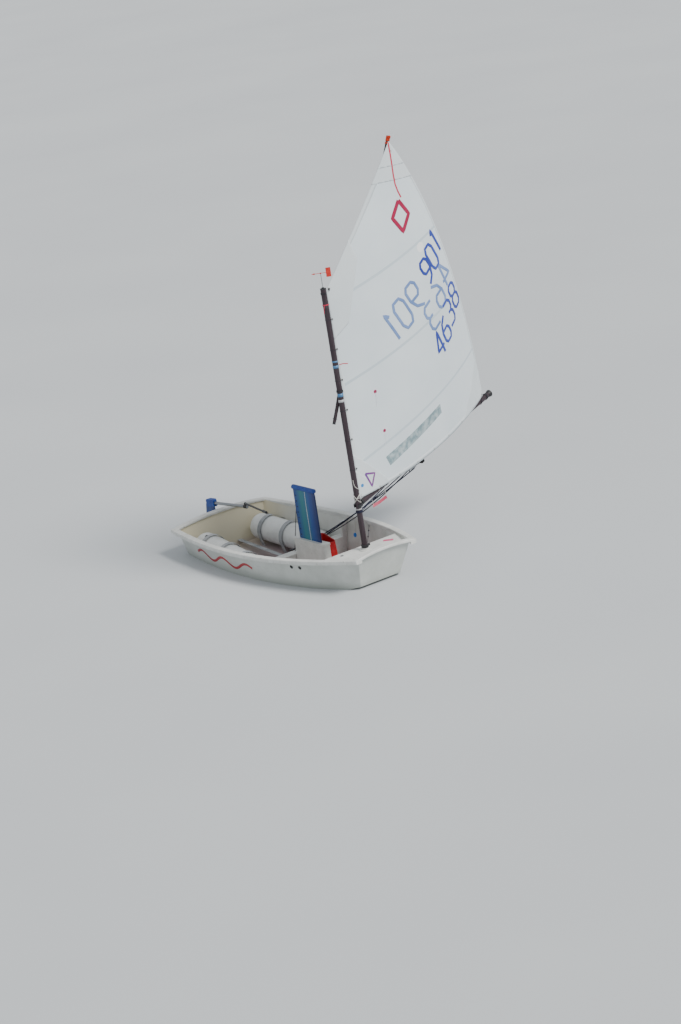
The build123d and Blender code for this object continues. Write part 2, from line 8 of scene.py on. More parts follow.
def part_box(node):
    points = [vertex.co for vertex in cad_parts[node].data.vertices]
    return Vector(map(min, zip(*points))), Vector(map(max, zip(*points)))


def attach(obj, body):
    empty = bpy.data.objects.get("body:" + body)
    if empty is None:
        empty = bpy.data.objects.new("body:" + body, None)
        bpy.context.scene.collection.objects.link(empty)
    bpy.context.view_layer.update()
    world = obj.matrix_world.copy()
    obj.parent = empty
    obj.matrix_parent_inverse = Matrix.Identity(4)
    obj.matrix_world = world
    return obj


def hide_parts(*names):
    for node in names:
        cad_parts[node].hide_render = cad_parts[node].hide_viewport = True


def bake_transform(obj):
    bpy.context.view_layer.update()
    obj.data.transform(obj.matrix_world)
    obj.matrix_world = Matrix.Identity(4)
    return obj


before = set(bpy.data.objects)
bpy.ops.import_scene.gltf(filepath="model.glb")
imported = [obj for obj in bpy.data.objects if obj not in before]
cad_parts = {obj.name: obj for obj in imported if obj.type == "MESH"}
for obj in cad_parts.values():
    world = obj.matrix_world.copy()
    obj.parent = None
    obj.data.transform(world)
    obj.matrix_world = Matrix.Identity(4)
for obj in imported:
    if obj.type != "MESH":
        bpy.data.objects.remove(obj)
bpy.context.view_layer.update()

# Camera and light.
# The camera stands ahead of the boat and to starboard, 22 m off, leaning to the left as the
# photograph does. A broad soft sun stands off the bow and a wide weak one opens the shadows.
def new_object(name, data):
    """An object with its data, put in the scene."""
    made = bpy.data.objects.new(name, data)
    bpy.context.collection.objects.link(made)
    return made


azimuth, elevation, roll = radians(55.963), radians(16.789), radians(-8.689)
distance_off, look_height = 22, 0.36
pixels_per_radian, picture_height = 2740.9, 1024
aim_right, aim_up = 43.43, 6.58


def between(first, second, angle):
    """The way that lies an angle, in radians, from a first way towards a second one."""
    return first * cos(angle) + second * sin(angle)


back = Vector((sin(azimuth) * cos(elevation), -cos(azimuth) * cos(elevation),
               sin(elevation)))
level_right = (-back).cross(Vector((0, 0, 1))).normalized()
level_up = level_right.cross(-back)
right, up = between(level_right, level_up, roll), between(level_up, -level_right, roll)
eye = Vector((0, 0, look_height)) + back * distance_off
aim = (-back + right * (aim_right / pixels_per_radian) + up * (aim_up / pixels_per_radian)).normalized()
right = (right - aim * right.dot(aim)).normalized()
up = right.cross(aim)
lens = bpy.data.cameras.new("camera")
lens.sensor_fit = "VERTICAL"
lens.sensor_height = 36
lens.lens = pixels_per_radian / picture_height * lens.sensor_height
lens.clip_end = 900
camera = new_object("camera", lens)
camera.matrix_world = Matrix((
    (right.x, up.x, -aim.x, eye.x),
    (right.y, up.y, -aim.y, eye.y),
    (right.z, up.z, -aim.z, eye.z),
    (0, 0, 0, 1),
))
bpy.context.scene.camera = camera


def soft_sun(name, source, strength, spread, tint):
    """A sun with a wide disc, so that its shadows are soft, shining from a place towards the boat."""
    data = bpy.data.lights.new(name, "SUN")
    data.energy = strength
    data.angle = radians(spread)
    data.color = tint
    new_object(name, data).rotation_euler = (-Vector(source)).to_track_quat("-Z", "Y").to_euler()


soft_sun("daylight", (6.0, 2.0, 6.4), 3.7, 20, (1.0, 0.975, 0.94))
soft_sun("fill", (-1.0, -6.0, 5.0), 0.12, 60, (0.93, 0.97, 1.0))


# Floor.
# A plain pale floor at the waterline, with an opening of the hull's own outline, because the boat
# floats in it. It runs far past the picture, and the world behind it is lit to the same pale tone.
def paint(code):
    """A colour's sRGB hex value as the linear values that a node takes."""
    parts = [int(code[i:i + 2], 16) / 255 for i in (1, 3, 5)]
    return [p / 12.92 if p <= 0.04045 else ((p + 0.055) / 1.055) ** 2.4 for p in parts] + [1.0]


def feed(node, sockets):
    """Links or sets each named socket of a node."""
    for name, value in sockets.items():
        if isinstance(value, bpy.types.NodeSocket):
            node.id_data.links.new(value, node.inputs[name])
        else:
            node.inputs[name].default_value = value


def add(tree, kind, sockets=None, **settings):
    """One node with its settings, and its sockets linked or set."""
    node = tree.nodes.new(kind)
    for name, value in settings.items():
        setattr(node, name, value)
    feed(node, sockets or {})
    return node


def start_material(name):
    """A new material, and the object's coordinates as a socket in its node tree."""
    material = bpy.data.materials.new(name)
    material.use_nodes = True
    return material, add(material.node_tree, "ShaderNodeTexCoord").outputs["Object"]


# Each function from here down to finish works in the node tree of the socket that it gets first.
def noise(vector, scale, detail=2.0, roughness=0.5, distortion=0.0):
    """A noise texture's value."""
    sockets = {"Vector": vector, "Scale": scale, "Detail": detail, "Roughness": roughness,
               "Distortion": distortion}
    return add(vector.id_data, "ShaderNodeTexNoise", sockets).outputs["Fac"]


def pattern(kind, vector, scale, sockets=None, **settings):
    """A wave or checker texture's value."""
    sockets = {"Vector": vector, "Scale": scale, **(sockets or {})}
    return add(vector.id_data, "ShaderNodeTex" + kind, sockets, **settings).outputs["Fac"]


def lines_along(vector, scale, detail):
    """Noise drawn out along the axis with the small scale, as brushing and drawing leave it."""
    drawn = add(vector.id_data, "ShaderNodeMapping", {"Vector": vector, "Scale": scale})
    return noise(drawn.outputs["Vector"], 1.0, detail)


def maths(operation, *values):
    """A number worked out from others."""
    node = add(values[0].id_data, "ShaderNodeMath", dict(enumerate(values)), operation=operation)
    return node.outputs["Value"]


def vector_maths(operation, *values):
    """A vector worked out from others, or for a dot product a number."""
    node = add(values[0].id_data, "ShaderNodeVectorMath", dict(enumerate(values)), operation=operation)
    return node.outputs["Value" if operation == "DOT_PRODUCT" else "Vector"]


def remap(value, low=0.0, high=1.0, to_low=0.0, to_high=1.0):
    """A value brought from one range to another and held at its ends."""
    sockets = {"Value": value, "From Min": low, "From Max": high, "To Min": to_low, "To Max": to_high}
    return add(value.id_data, "ShaderNodeMapRange", sockets).outputs["Result"]


def steps(factor, *stops):
    """A colour ramp over a factor, from its (place, hex colour) stops."""
    ramp = add(factor.id_data, "ShaderNodeValToRGB", {"Fac": factor})
    elements = ramp.color_ramp.elements
    while len(elements) < len(stops):
        elements.new(0.5)
    for element, (place, code) in zip(elements, stops):
        element.position = place
        element.color = paint(code)
    return ramp.outputs["Color"]


def mixed(factor, first, second):
    """Two colours mixed by a factor."""
    node = add(factor.id_data, "ShaderNodeMix", {"Factor": factor, "A": first, "B": second}, data_type="RGBA")
    return node.outputs["Result"]


def finish(colour, roughness, bumps=(), **levels):
    """Sets the shader: colour, roughness, (height, strength, distance) bumps, and levels by name."""
    tree = colour.id_data
    normal = {}
    for height, strength, distance in bumps:
        sockets = {"Height": height, "Strength": strength, "Distance": distance}
        normal = {"Normal": add(tree, "ShaderNodeBump", {**sockets, **normal}).outputs["Normal"]}
    named = {name.replace("_", " "): value for name, value in levels.items()}
    feed(tree.nodes["Principled BSDF"], {"Base Color": colour, "Roughness": roughness, **normal, **named})


def dress(material, *names):
    """Gives CAD nodes a material."""
    for name in names:
        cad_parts[name].data.materials[0] = material


def place_mesh(name, mesh, material, body):
    """A finished mesh as a piece that rides on a body."""
    piece = new_object(name, mesh)
    for one in material if isinstance(material, list) else [material]:
        mesh.materials.append(one)
    if body:
        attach(piece, body)
    return piece


def mesh_piece(name, bm, material, body):
    """A finished bmesh as a piece."""
    mesh = bpy.data.meshes.new(name)
    bm.to_mesh(mesh)
    bm.free()
    return place_mesh(name, mesh, material, body)


pale_floor, place = start_material("matt_pale_paper")
finish(steps(noise(place, 0.35), (0.3, "#c0c4c8"), (0.7, "#c5c9cc")), 0.9, Specular_IOR_Level=0.2)

floor_radius, inside_hull = 400.0, (0.996, 0.990, 1.0)
bm = bmesh.new()
bm.from_mesh(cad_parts["hull_shell"].data)
hull_points = bmesh.ops.convex_hull(bm, input=bm.verts)
outside = {v for v in hull_points["geom"] if isinstance(v, bmesh.types.BMFace)}
bmesh.ops.delete(bm, geom=[f for f in bm.faces if f not in outside], context="FACES")
bmesh.ops.bisect_plane(bm, geom=bm.verts[:] + bm.edges[:] + bm.faces[:], plane_co=(0, 0, 0),
                       plane_no=(0, 0, 1), clear_outer=True, clear_inner=True)
bmesh.ops.remove_doubles(bm, verts=bm.verts, dist=0.0005)
bmesh.ops.scale(bm, vec=inside_hull, verts=bm.verts)
inner = bm.edges[:]
ring = bmesh.ops.create_circle(bm, segments=96, radius=floor_radius)
outer = list({e for v in ring["verts"] for e in v.link_edges})
bmesh.ops.bridge_loops(bm, edges=inner + outer)
bmesh.ops.recalc_face_normals(bm, faces=bm.faces)
if bm.faces[:] and bm.faces[0].normal.z < 0:
    bmesh.ops.reverse_faces(bm, faces=bm.faces)
floor = mesh_piece("floor", bm, pale_floor, None)

sky = bpy.data.worlds.new("pale_backdrop")
sky.use_nodes = True
seen = add(sky.node_tree, "ShaderNodeLightPath").outputs["Is Camera Ray"]
feed(sky.node_tree.nodes["Background"], {"Color": paint("#e1e5e8"),
                                         "Strength": remap(seen, to_low=0.8, to_high=1.03)})
bpy.context.scene.world = sky


# Hull, rim, deck and inner fittings.
# Moulded in glass-reinforced polyester: outside a gloss gelcoat, chalked by the sun and painted greyer
# than the rim as painted shade, with scuffs and a stain line at the waterline; inside a duller flow coat
# with grime, a cream tint towards the stern that is painted sunlight, and a floor painted a darker
# pinkish grey as painted shade.
gel_coat_ior = 1.53
gelcoat, place = start_material("chalked_gelcoat_with_painted_light")
split = add(place.id_data, "ShaderNodeSeparateXYZ", {"Vector": place})
blotches = noise(place, 5.0, 6.0, 0.6)
scuffs = remap(lines_along(place, (6.0, 60.0, 160.0), 3.0), 0.62, 0.75, to_high=0.35)
# The outside's grey tones, darker than the rim's white, are partly chalked gelcoat and partly painted shade.
scuffed = mixed(scuffs, steps(blotches, (0.35, "#babeb9"), (0.65, "#cbceca")), paint("#9c9f9a"))
wet = maths("MULTIPLY", remap(split.outputs["Z"], 0.075, 0.0), blotches)
outer_skin_with_painted_shade = mixed(wet, scuffed, paint("#8d958a"))
# Towards the stern the inside turns cream: painted sunlight on the transom's inner face.
interior_with_painted_stern_light = mixed(remap(split.outputs["X"], -0.7, -1.1),
             steps(blotches, (0.32, "#b9bab3"), (0.5, "#c9cac5"), (0.68, "#d2d3cf")), paint("#d8d0b6"))
# Lower down the inside turns a darker pinkish grey: painted shade, tinted pink.
interior_with_painted_light_and_shade = mixed(remap(split.outputs["Z"], -0.02, -0.11), interior_with_painted_stern_light,
             steps(blotches, (0.35, "#a48f93"), (0.65, "#bcaaab")))
facing = place.node.outputs["Normal"]
from_middle = vector_maths("SUBTRACT", place, (0.0, 0.0, 0.45))
outward = vector_maths("DOT_PRODUCT", facing, from_middle)
is_outside = maths("GREATER_THAN", outward, 0.0)
finish(mixed(is_outside, interior_with_painted_light_and_shade, outer_skin_with_painted_shade), remap(is_outside, to_low=0.62, to_high=0.3),
       [(noise(place, 90.0, 4.0), 0.1, 0.002)], IOR=gel_coat_ior)
dress(gelcoat, "hull_shell")

rim_gel, place = start_material("scuffed_white_gelcoat")
blotches = noise(place, 11.0, 8.0, 0.65)
knocks = noise(place, 48.0, 3.0)
tone = mixed(remap(knocks, 0.64, 0.72, to_high=0.5),
             steps(blotches, (0.3, "#c4c5c1"), (0.6, "#d8d9d6")), paint("#9c9b93"))
finish(tone, remap(blotches, to_low=0.25, to_high=0.55), [(knocks, 0.12, 0.002)], IOR=gel_coat_ior)
dress(rim_gel, "gunwale_rim", "foredeck", "mast_collar", "mast_step", "daggerboard_case", "midship_thwart",
      "midship_frame")


# Dark nylon fittings.
# Blocks, spar ends, jaws, clamp, the extension's knuckle and the mast cap are moulded in black
# nylon. The mould leaves a fine satin grain, and use has greyed it in patches.
def mottled(name, codes, scale, detail, roughness, stops=(0.35, 0.7), grain=None):
    """Plastic or film in one mottled colour, with a (scale, strength, depth) grain where it has one."""
    material, place = start_material(name)
    bumps = [(noise(place, grain[0]), *grain[1:])] if grain else []
    finish(steps(noise(place, scale, detail), *zip(stops, codes)), roughness, bumps)
    return material


nylon = mottled("moulded_black_nylon", ("#1a1b1e", "#2c2d31"), 30.0, 4.0, 0.48, grain=(900.0, 0.25, 0.0005))
dress(nylon, "mast_cap", "mast_clamp", "boom_jaws", "boom_end", "boom_block", "floor_block", "sprit_tips",
      "extension_joint")

# Spars.
# Mast, boom and sprit are drawn aluminium tubes with a dark brown-grey anodised skin, which has
# the drawing's fine lines along the tube and paler patches where it is rubbed.
spar_skin, place = start_material("dark_anodised_aluminium")
drawing = lines_along(place, (260.0, 260.0, 4.0), 3.0)
rubbed = remap(noise(place, 9.0, 7.0, 0.7), 0.58, 0.72, to_high=0.5)
tone = mixed(rubbed, steps(drawing, (0.3, "#372d32"), (0.7, "#4f434a")), paint("#6d6468"))
finish(tone, remap(drawing, to_low=0.34, to_high=0.52), Metallic=0.55)
dress(spar_skin, "mast", "boom", "sprit")

# Tiller and its extension.
# The tiller is a clear-anodised aluminium tube. The extension is a dark tube in a checked fibre
# weave, with shallow ribs that stand for its grip.
bare_alloy, place = start_material("clear_anodised_aluminium")
drawing = lines_along(place, (5.0, 300.0, 300.0), 3.0)
finish(steps(drawing, (0.3, "#878b90"), (0.7, "#a4a8ac")), 0.36, Metallic=0.9)
dress(bare_alloy, "tiller")

fibre_tube, place = start_material("dark_fibre_tube")
weave = steps(pattern("Checker", place, 330.0), (0.0, "#2a2c31"), (1.0, "#1b1d21"))
finish(weave, 0.45, [(pattern("Wave", place, 60.0, bands_direction="X"), 0.2, 0.001)])
dress(fibre_tube, "tiller_extension")

# Stainless fittings.
# Gudgeons, pintles, the deck's grommet and the wind vane's rod are stainless steel. It is lightly
# brushed, so that its shine is broken up along the lines.
stainless, place = start_material("brushed_stainless_steel")
brushing = lines_along(place, (900.0, 40.0, 900.0), 2.0)
finish(steps(brushing, (0.3, "#8f9396"), (0.7, "#b9bcbe")),
       remap(brushing, to_low=0.22, to_high=0.42), Metallic=1.0)
dress(stainless, "transom_gudgeons", "rudder_pintles", "deck_grommet", "wind_vane_rod")

# Daggerboard and rudder.
# The board is a painted blank: deep blue at its edges with a teal middle, where the paint is worn
# thin. The rudder's blade has the same deep blue enamel, and its head and the grip are moulded.
board_paint, place = start_material("blue_brushed_enamel")
across = add(place.id_data, "ShaderNodeSeparateXYZ", {"Vector": place}).outputs["X"]
brushing = lines_along(place, (60.0, 60.0, 5.0), 5.0)
shifted = maths("MULTIPLY_ADD", brushing, 0.14, remap(across, 0.009, 0.294))
tone = steps(shifted, (0.07, "#12306f"), (0.2, "#124a8c"), (0.42, "#237680"),
             (0.62, "#1e6889"), (0.78, "#12458f"), (1.0, "#0d2868"))
finish(tone, 0.4, [(brushing, 0.15, 0.001)])
dress(board_paint, "daggerboard")

blade_paint, place = start_material("deep_blue_brushed_enamel")
brushing = lines_along(place, (50.0, 50.0, 5.0), 5.0)
finish(steps(brushing, (0.35, "#0e2c6e"), (0.7, "#154a90")), 0.4, [(brushing, 0.15, 0.001)])
dress(blade_paint, "rudder_blade")

blue_plastic = mottled("blue_moulded_polythene", ("#11358a", "#1a4ea2"), 26.0, 5.0, 0.5,
                       grain=(420.0, 0.3, 0.0008))
dress(blue_plastic, "daggerboard_grip", "rudder_head")

# Side plug.
# A round screw-in plug of bright blue nylon closes the drain in the port side. The rings on its
# cap, laid on further down, are of the same plastic.
plug_nylon = mottled("bright_blue_nylon", ("#1f74d0", "#3a8ade"), 60.0, 4.0, 0.4)
dress(plug_nylon, "side_plug")

# Bailer and wind vane.
# The bailer is a scoop cut from a red polythene can, scratched by sand; the vane is thin
# orange-red plastic sheet.
red_polythene, place = start_material("scratched_red_polythene")
scratches = lines_along(place, (220.0, 220.0, 14.0), 4.0)
finish(steps(scratches, (0.3, "#b5141c"), (0.62, "#cb2228"), (0.75, "#d8565a")), 0.42,
       [(scratches, 0.15, 0.0006)], Subsurface_Weight=0.1)
dress(red_polythene, "bailer")

dress(mottled("orange_red_sheet_plastic", ("#b8201e", "#d93c22"), 40.0, 3.0, 0.38), "wind_vane")

# Straps.
# Toe straps and the straps over the buoyancy bags are woven polyester webbing. The ribs run
# across the tape every 2 mm, drawn at 3 mm so that they show.
webbing, place = start_material("woven_polyester_webbing")
ribs = pattern("Wave", place, 105.0, {"Distortion": 1.0}, bands_direction="X")
finish(steps(noise(place, 14.0, 5.0), (0.3, "#898d91"), (0.7, "#b2b5b8")), 0.85, [(ribs, 0.5, 0.0008)],
       Sheen_Weight=0.2)
dress(webbing, "toe_straps", "bag_straps_port", "bag_straps_starboard", "bag_straps_bow")

# Buoyancy bags.
# Three inflated bags of white coated nylon, welded from two sheets, so that a flat welded edge
# runs round each and the cloth puckers at its ends. Pressure swells them between their straps.
bag_film, place = start_material("white_coated_nylon")
dirt = noise(place, 9.0, 6.0, 0.65)
puckers = noise(place, 26.0, 5.0, distortion=0.6)
finish(steps(dirt, (0.3, "#cfd1cf"), (0.55, "#dfe1e0"), (0.8, "#e6e7e6")), 0.36,
       [(puckers, 0.35, 0.004)], Coat_Weight=0.15)
bag_voxel, bag_shrink, bag_cap = 0.008, 0.008, 0.0075
cloth_frames = 20


def bag_mesh(node):
    """The bag's solid, welded into one skin and drawn in a little, so that it has room to swell."""
    bm = bmesh.new()
    bm.from_mesh(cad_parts[node].data)
    bmesh.ops.remove_doubles(bm, verts=bm.verts, dist=0.0002)
    bm.normal_update()
    for vertex in bm.verts:
        vertex.co -= vertex.normal * bag_shrink
    return bm


def evaluated_mesh(piece):
    """A new mesh of an object as its modifiers leave it."""
    return bpy.data.meshes.new_from_object(piece.evaluated_get(bpy.context.evaluated_depsgraph_get()))


def swell(piece):
    """Cloth with air pressure from inside, with its result applied and each point's way limited."""
    remesh = piece.modifiers.new("remesh", "REMESH")
    remesh.mode = "VOXEL"
    remesh.voxel_size = bag_voxel
    even = evaluated_mesh(piece)
    piece.modifiers.clear()
    piece.data = even
    rest = [v.co.copy() for v in even.vertices]
    cloth = piece.modifiers.new("cloth", "CLOTH")
    cloth.settings.use_pressure = True
    cloth.settings.uniform_pressure_force = 4
    cloth.settings.effector_weights.gravity = 0
    cloth.settings.quality = 4
    cloth.settings.mass = 0.2
    cloth.point_cache.frame_start, cloth.point_cache.frame_end = 1, cloth_frames
    for step in range(1, cloth_frames + 1):
        bpy.context.scene.frame_set(step)
    blown = evaluated_mesh(piece)
    piece.modifiers.clear()
    for vertex, start in zip(blown.vertices, rest):
        way = vertex.co - start
        if way.length > bag_cap:
            vertex.co = start + way * (bag_cap / way.length)
    piece.data = blown
    bpy.context.scene.frame_set(1)
    for polygon in piece.data.polygons:
        polygon.use_smooth = True
    round_off = piece.modifiers.new("round", "SUBSURF")
    round_off.levels = round_off.render_levels = 1


for node in ("buoyancy_bag_port", "buoyancy_bag_starboard", "buoyancy_bag_bow"):
    bag = mesh_piece("inflated_" + node.split("_", 1)[1], bag_mesh(node), bag_film, None)
    swell(bag)
    if not bag.data.materials:
        bag.data.materials.append(bag_film)
    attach(bag, "hull")
    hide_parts(node)


# Bag valves.
# Each side bag is blown up through a black screw valve welded into its top: a round flange with a
# cap, made by spinning a profile about the way that the bag's skin faces there.
def search_tree(thing):
    """A finished object's faces, to be searched by rays."""
    return BVHTree.FromObject(thing, bpy.context.evaluated_depsgraph_get())


def spin_profile(bm, points, centre, axis, turns):
    """A skin made by turning a line of points about an axis."""
    profile = [bm.verts.new(point) for point in points]
    edges = [bm.edges.new(pair) for pair in zip(profile, profile[1:])]
    bmesh.ops.spin(bm, geom=profile + edges, cent=centre, axis=axis, angle=2 * pi, steps=turns,
                   use_merge=True)
    bmesh.ops.remove_doubles(bm, verts=bm.verts, dist=0.00001)
    bmesh.ops.recalc_face_normals(bm, faces=bm.faces)


# Columns of the profile: distance from the valve's middle, height over the bag.
valve_profile = [(0.0, 0.010), (0.008, 0.010), (0.0095, 0.0085), (0.0095, 0.003), (0.017, 0.0018),
                 (0.018, -0.004)]
for side, end in ((1, "port"), (-1, "starboard")):
    above = Vector((-0.885, side * 0.315, 0.6))
    bag_tree = search_tree(bpy.data.objects["inflated_bag_" + end])
    seat, normal = bag_tree.ray_cast(above, Vector((0, 0, -1)))[:2]
    turned = normal.to_track_quat("Z", "Y").to_matrix()
    points = [seat + turned @ Vector((out, 0, high)) for out, high in valve_profile]
    bm = bmesh.new()
    spin_profile(bm, points, seat, normal, 28)
    mesh_piece("bag_valve_" + end, bm, nylon, "hull")


# Sail.
# One quadrilateral of white woven polyester, cut in cloths and sewn, stretched between mast, boom
# and sprit. It bellies to leeward; tapes bind its edges, patches its corners, and a clear film
# window lets the helm see under it.
tack_height, throat_height = 0.405, 2.068
foot_bearing, head_bearing = 73.0, 97.4
mast_rake = radians(1.6)
mast_axis = Vector((-sin(mast_rake), 0, cos(mast_rake)))
aft_of_mast = Vector((-cos(mast_rake), 0, -sin(mast_rake)))
partner = Vector((0.876, 0, 0.249))


def on_mast(height):
    return partner + mast_axis * height


def bearing(degrees):
    """The way from the mast at an angle from dead aft, positive to port."""
    return between(aft_of_mast, Vector((0, 1, 0)), radians(degrees))


def leeward(degrees):
    return bearing(degrees).cross(mast_axis)


# Ribs from the foot to the head, in metres. Columns: height of the luff end, reach of the leech
# end, height of the leech end, bearing in degrees, depth of the belly, sag of its middle.
ribs = [
    (tack_height, 1.880, 0.706, foot_bearing, 0.100, 0.042),
    (0.820, 1.640, 1.240, 78.0, 0.140, 0.0),
    (1.240, 1.370, 1.820, 84.5, 0.130, 0.0),
    (1.660, 1.080, 2.470, 91.5, 0.090, 0.0),
    (throat_height, 0.757, 3.060, head_bearing, 0.022, 0.0),
]
mast_radius = 0.0225


def rib_point(rib, share):
    """A point on a rib's arc, from luff to leech."""
    luff_height, reach, leech_height, angle, depth, sag = rib
    luff = on_mast(luff_height) + bearing(angle) * (mast_radius + 0.0004)
    leech = on_mast(leech_height) + bearing(angle) * reach
    belly = leeward(angle) * depth - mast_axis * sag
    depth, belly = belly.length, belly.normalized()
    half = (leech - luff).length / 2
    chord = (leech - luff).normalized()
    belly = (belly - chord * belly.dot(chord)).normalized()
    radius = (half * half + depth * depth) / (2 * depth)
    turn = asin(half / radius) * (2 * share - 1)
    middle = (luff + leech) / 2 + belly * (depth - radius)
    return middle + between(belly, chord, turn) * radius


def sail_point(share, rise):
    """A point of the sail: share from luff to leech, rise from foot to head."""
    at = rise * (len(ribs) - 1)
    place = Vector((0, 0, 0))
    for i, rib in enumerate(ribs):
        others = [j for j in range(len(ribs)) if j != i]
        place += rib_point(rib, share) * prod((at - j) / (i - j) for j in others)
    return place


cad_sail = search_tree(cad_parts["sail"])
half_thick = 0.0012


def sail_place(share, rise):
    """The same point, set on the middle of the CAD sail's thickness."""
    start = sail_point(min(max(share, 0.002), 0.998), min(max(rise, 0.002), 0.998))
    way = leeward(foot_bearing + (head_bearing - foot_bearing) * rise)
    hit = cad_sail.ray_cast(start + way * 0.15, -way)[0]
    shift = (hit - start).dot(way) if hit else 0.0
    return sail_point(share, rise) + way * (shift - half_thick)


def mast_place(point):
    """Distance from the mast's line and height along it, in metres."""
    along = (point - partner).dot(mast_axis)
    return (point - on_mast(along)).length, along


sail_scale = 4.0


def thicken(piece, thickness, offset=0.0):
    """Gives a flat mesh its thickness."""
    wall = piece.modifiers.new("thickness", "SOLIDIFY")
    wall.thickness, wall.offset = thickness, offset


def grid(columns, rows, lay):
    """A grid whose points are laid by a function of two shares, each from 0 to 1."""
    bm = bmesh.new()
    bmesh.ops.create_grid(bm, x_segments=columns, y_segments=rows, size=0.5)
    for vertex in bm.verts:
        vertex.co = lay(vertex.co.x + 0.5, vertex.co.y + 0.5)
    return bm


def sail_panel(first, last, bottom, top, columns, rows):
    """A part of the sail as a grid, whose map holds distance and height along the mast."""
    bm = grid(columns, rows, lambda x, y: sail_place(first + (last - first) * x, bottom + (top - bottom) * y))
    layer = bm.loops.layers.uv.new("cloth")
    for face in bm.faces:
        for loop in face.loops:
            out, along = mast_place(loop.vert.co)
            loop[layer].uv = (out / sail_scale, along / sail_scale)
        face.smooth = True
    return bm


def start_cloth(name):
    """A new material, and the sail's map as a socket in its node tree."""
    material, place = start_material(name)
    return material, add(place.id_data, "ShaderNodeUVMap", uv_map="cloth").outputs["UV"]


cloth_across, half_cloth = (-0.3, 0.954, 0.0), 0.31
sailcloth, cloth_map = start_cloth("woven_polyester_sailcloth")
metres = vector_maths("MULTIPLY", cloth_map, (sail_scale, sail_scale, 1.0))
cloths = vector_maths("DOT_PRODUCT", metres, cloth_across)
seam = remap(maths("PINGPONG", cloths, half_cloth), 0.012, 0.009)
threads = pattern("Checker", metres, 700.0)
creases = noise(metres, 7.0, 6.0, distortion=0.4)
tone = mixed(seam, steps(noise(metres, 2.2, 5.0), (0.3, "#d5e0e6"), (0.7, "#e0e9ed")), paint("#c5d2d9"))
finish(tone, 0.6, [(threads, 0.12, 0.0003), (seam, 0.4, 0.001), (creases, 0.12, 0.01)],
       Sheen_Weight=0.1, Subsurface_Weight=0.25, Subsurface_Radius=(0.01, 0.01, 0.01))

window_film, cloth_map = start_cloth("clear_polyester_film")
haze = noise(cloth_map, 70.0, 5.0, 0.6)
finish(steps(haze, (0.38, "#8fa7ae"), (0.5, "#b3c5ca"), (0.62, "#ccd9dc")), 0.12,
       Transmission_Weight=0.35, IOR=1.2)

bm = sail_panel(0.0, 1.0, 0.0, 1.0, 96, 120)
window_top, window_bearing = 1.1, 74.5
window = [sail_place(*corner) for corner in ((0.179, 0.115), (0.199, 0.067), (0.587, 0.120), (0.586, 0.161))]
sides = []
for start, end in zip(window, window[1:] + window[:1]):
    sides.append((start, (end - start).cross(leeward(window_bearing)).normalized()))
middle = sum(window, Vector()) / 4
sides = [(start, way if (middle - start).dot(way) < 0 else -way) for start, way in sides]
for start, way in sides:
    near = [f for f in bm.faces if mast_place(f.calc_center_median())[1] < window_top]
    near = set(near) | {e for f in near for e in f.edges} | {v for f in near for v in f.verts}
    bmesh.ops.bisect_plane(bm, geom=list(near), plane_co=start, plane_no=way)
for face in bm.faces:
    centre = face.calc_center_median()
    if all((centre - start).dot(way) < 0 for start, way in sides):
        face.material_index = 1
sail = mesh_piece("spritsail", bm, [sailcloth, window_film], "rig")
thicken(sail, 0.0008)
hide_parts("sail")

# Sail's tapes and corner patches.
# Folded tape is sewn over all four edges and layers of cloth over each corner, where the spars
# and lashings pull. They are the sail's own cloth, so they show as slightly denser bands.
taped_cloth, cloth_map = start_cloth("doubled_polyester_sailcloth")
stitching = pattern("Checker", cloth_map, 900.0)
finish(steps(noise(cloth_map, 9.0, 4.0), (0.3, "#d0d9dd"), (0.7, "#dbe2e5")), 0.62,
       [(stitching, 0.2, 0.0004)])
sewn_on = []


def sew_on(name, bm, thickness):
    """A sewn-on part of the sail, thick enough to stand proud of the cloth on both faces."""
    piece = mesh_piece(name, bm, taped_cloth, "rig")
    thicken(piece, thickness)
    sewn_on.append(piece)


sew_on("luff_tape", sail_panel(0.0, 0.022, 0.0, 1.0, 3, 160), 0.0018)
sew_on("leech_tape", sail_panel(0.986, 1.0, 0.0, 1.0, 2, 160), 0.0016)
sew_on("foot_tape", sail_panel(0.0, 1.0, 0.0, 0.016, 120, 2), 0.0018)
sew_on("head_tape", sail_panel(0.0, 1.0, 0.978, 1.0, 120, 2), 0.0018)
# Columns: the corner's share and rise, and the sizes of its two layers in metres.
corners = [("tack", 0, 0, 0.27, 0.17), ("clew", 1, 0, 0.34, 0.21), ("throat", 0, 1, 0.22, 0.14),
           ("peak", 1, 1, 0.30, 0.19)]
for corner, share, rise, *sizes in corners:
    tip = sail_place(share, rise)
    inward = (sail_place(abs(share - 0.2), rise) - tip).normalized()
    inward = (inward + (sail_place(share, abs(rise - 0.15)) - tip).normalized()).normalized()
    for size, thickness in zip(sizes, (0.0022, 0.0028)):
        bm = sail_panel(share, abs(share - 0.34), rise, abs(rise - 0.24), 30, 30)
        bmesh.ops.bisect_plane(bm, geom=bm.verts[:] + bm.edges[:] + bm.faces[:], plane_co=tip + inward * size,
                               plane_no=inward, clear_outer=True)
        sew_on(f"{corner}_patch_{round(size * 100)}", bm, thickness)


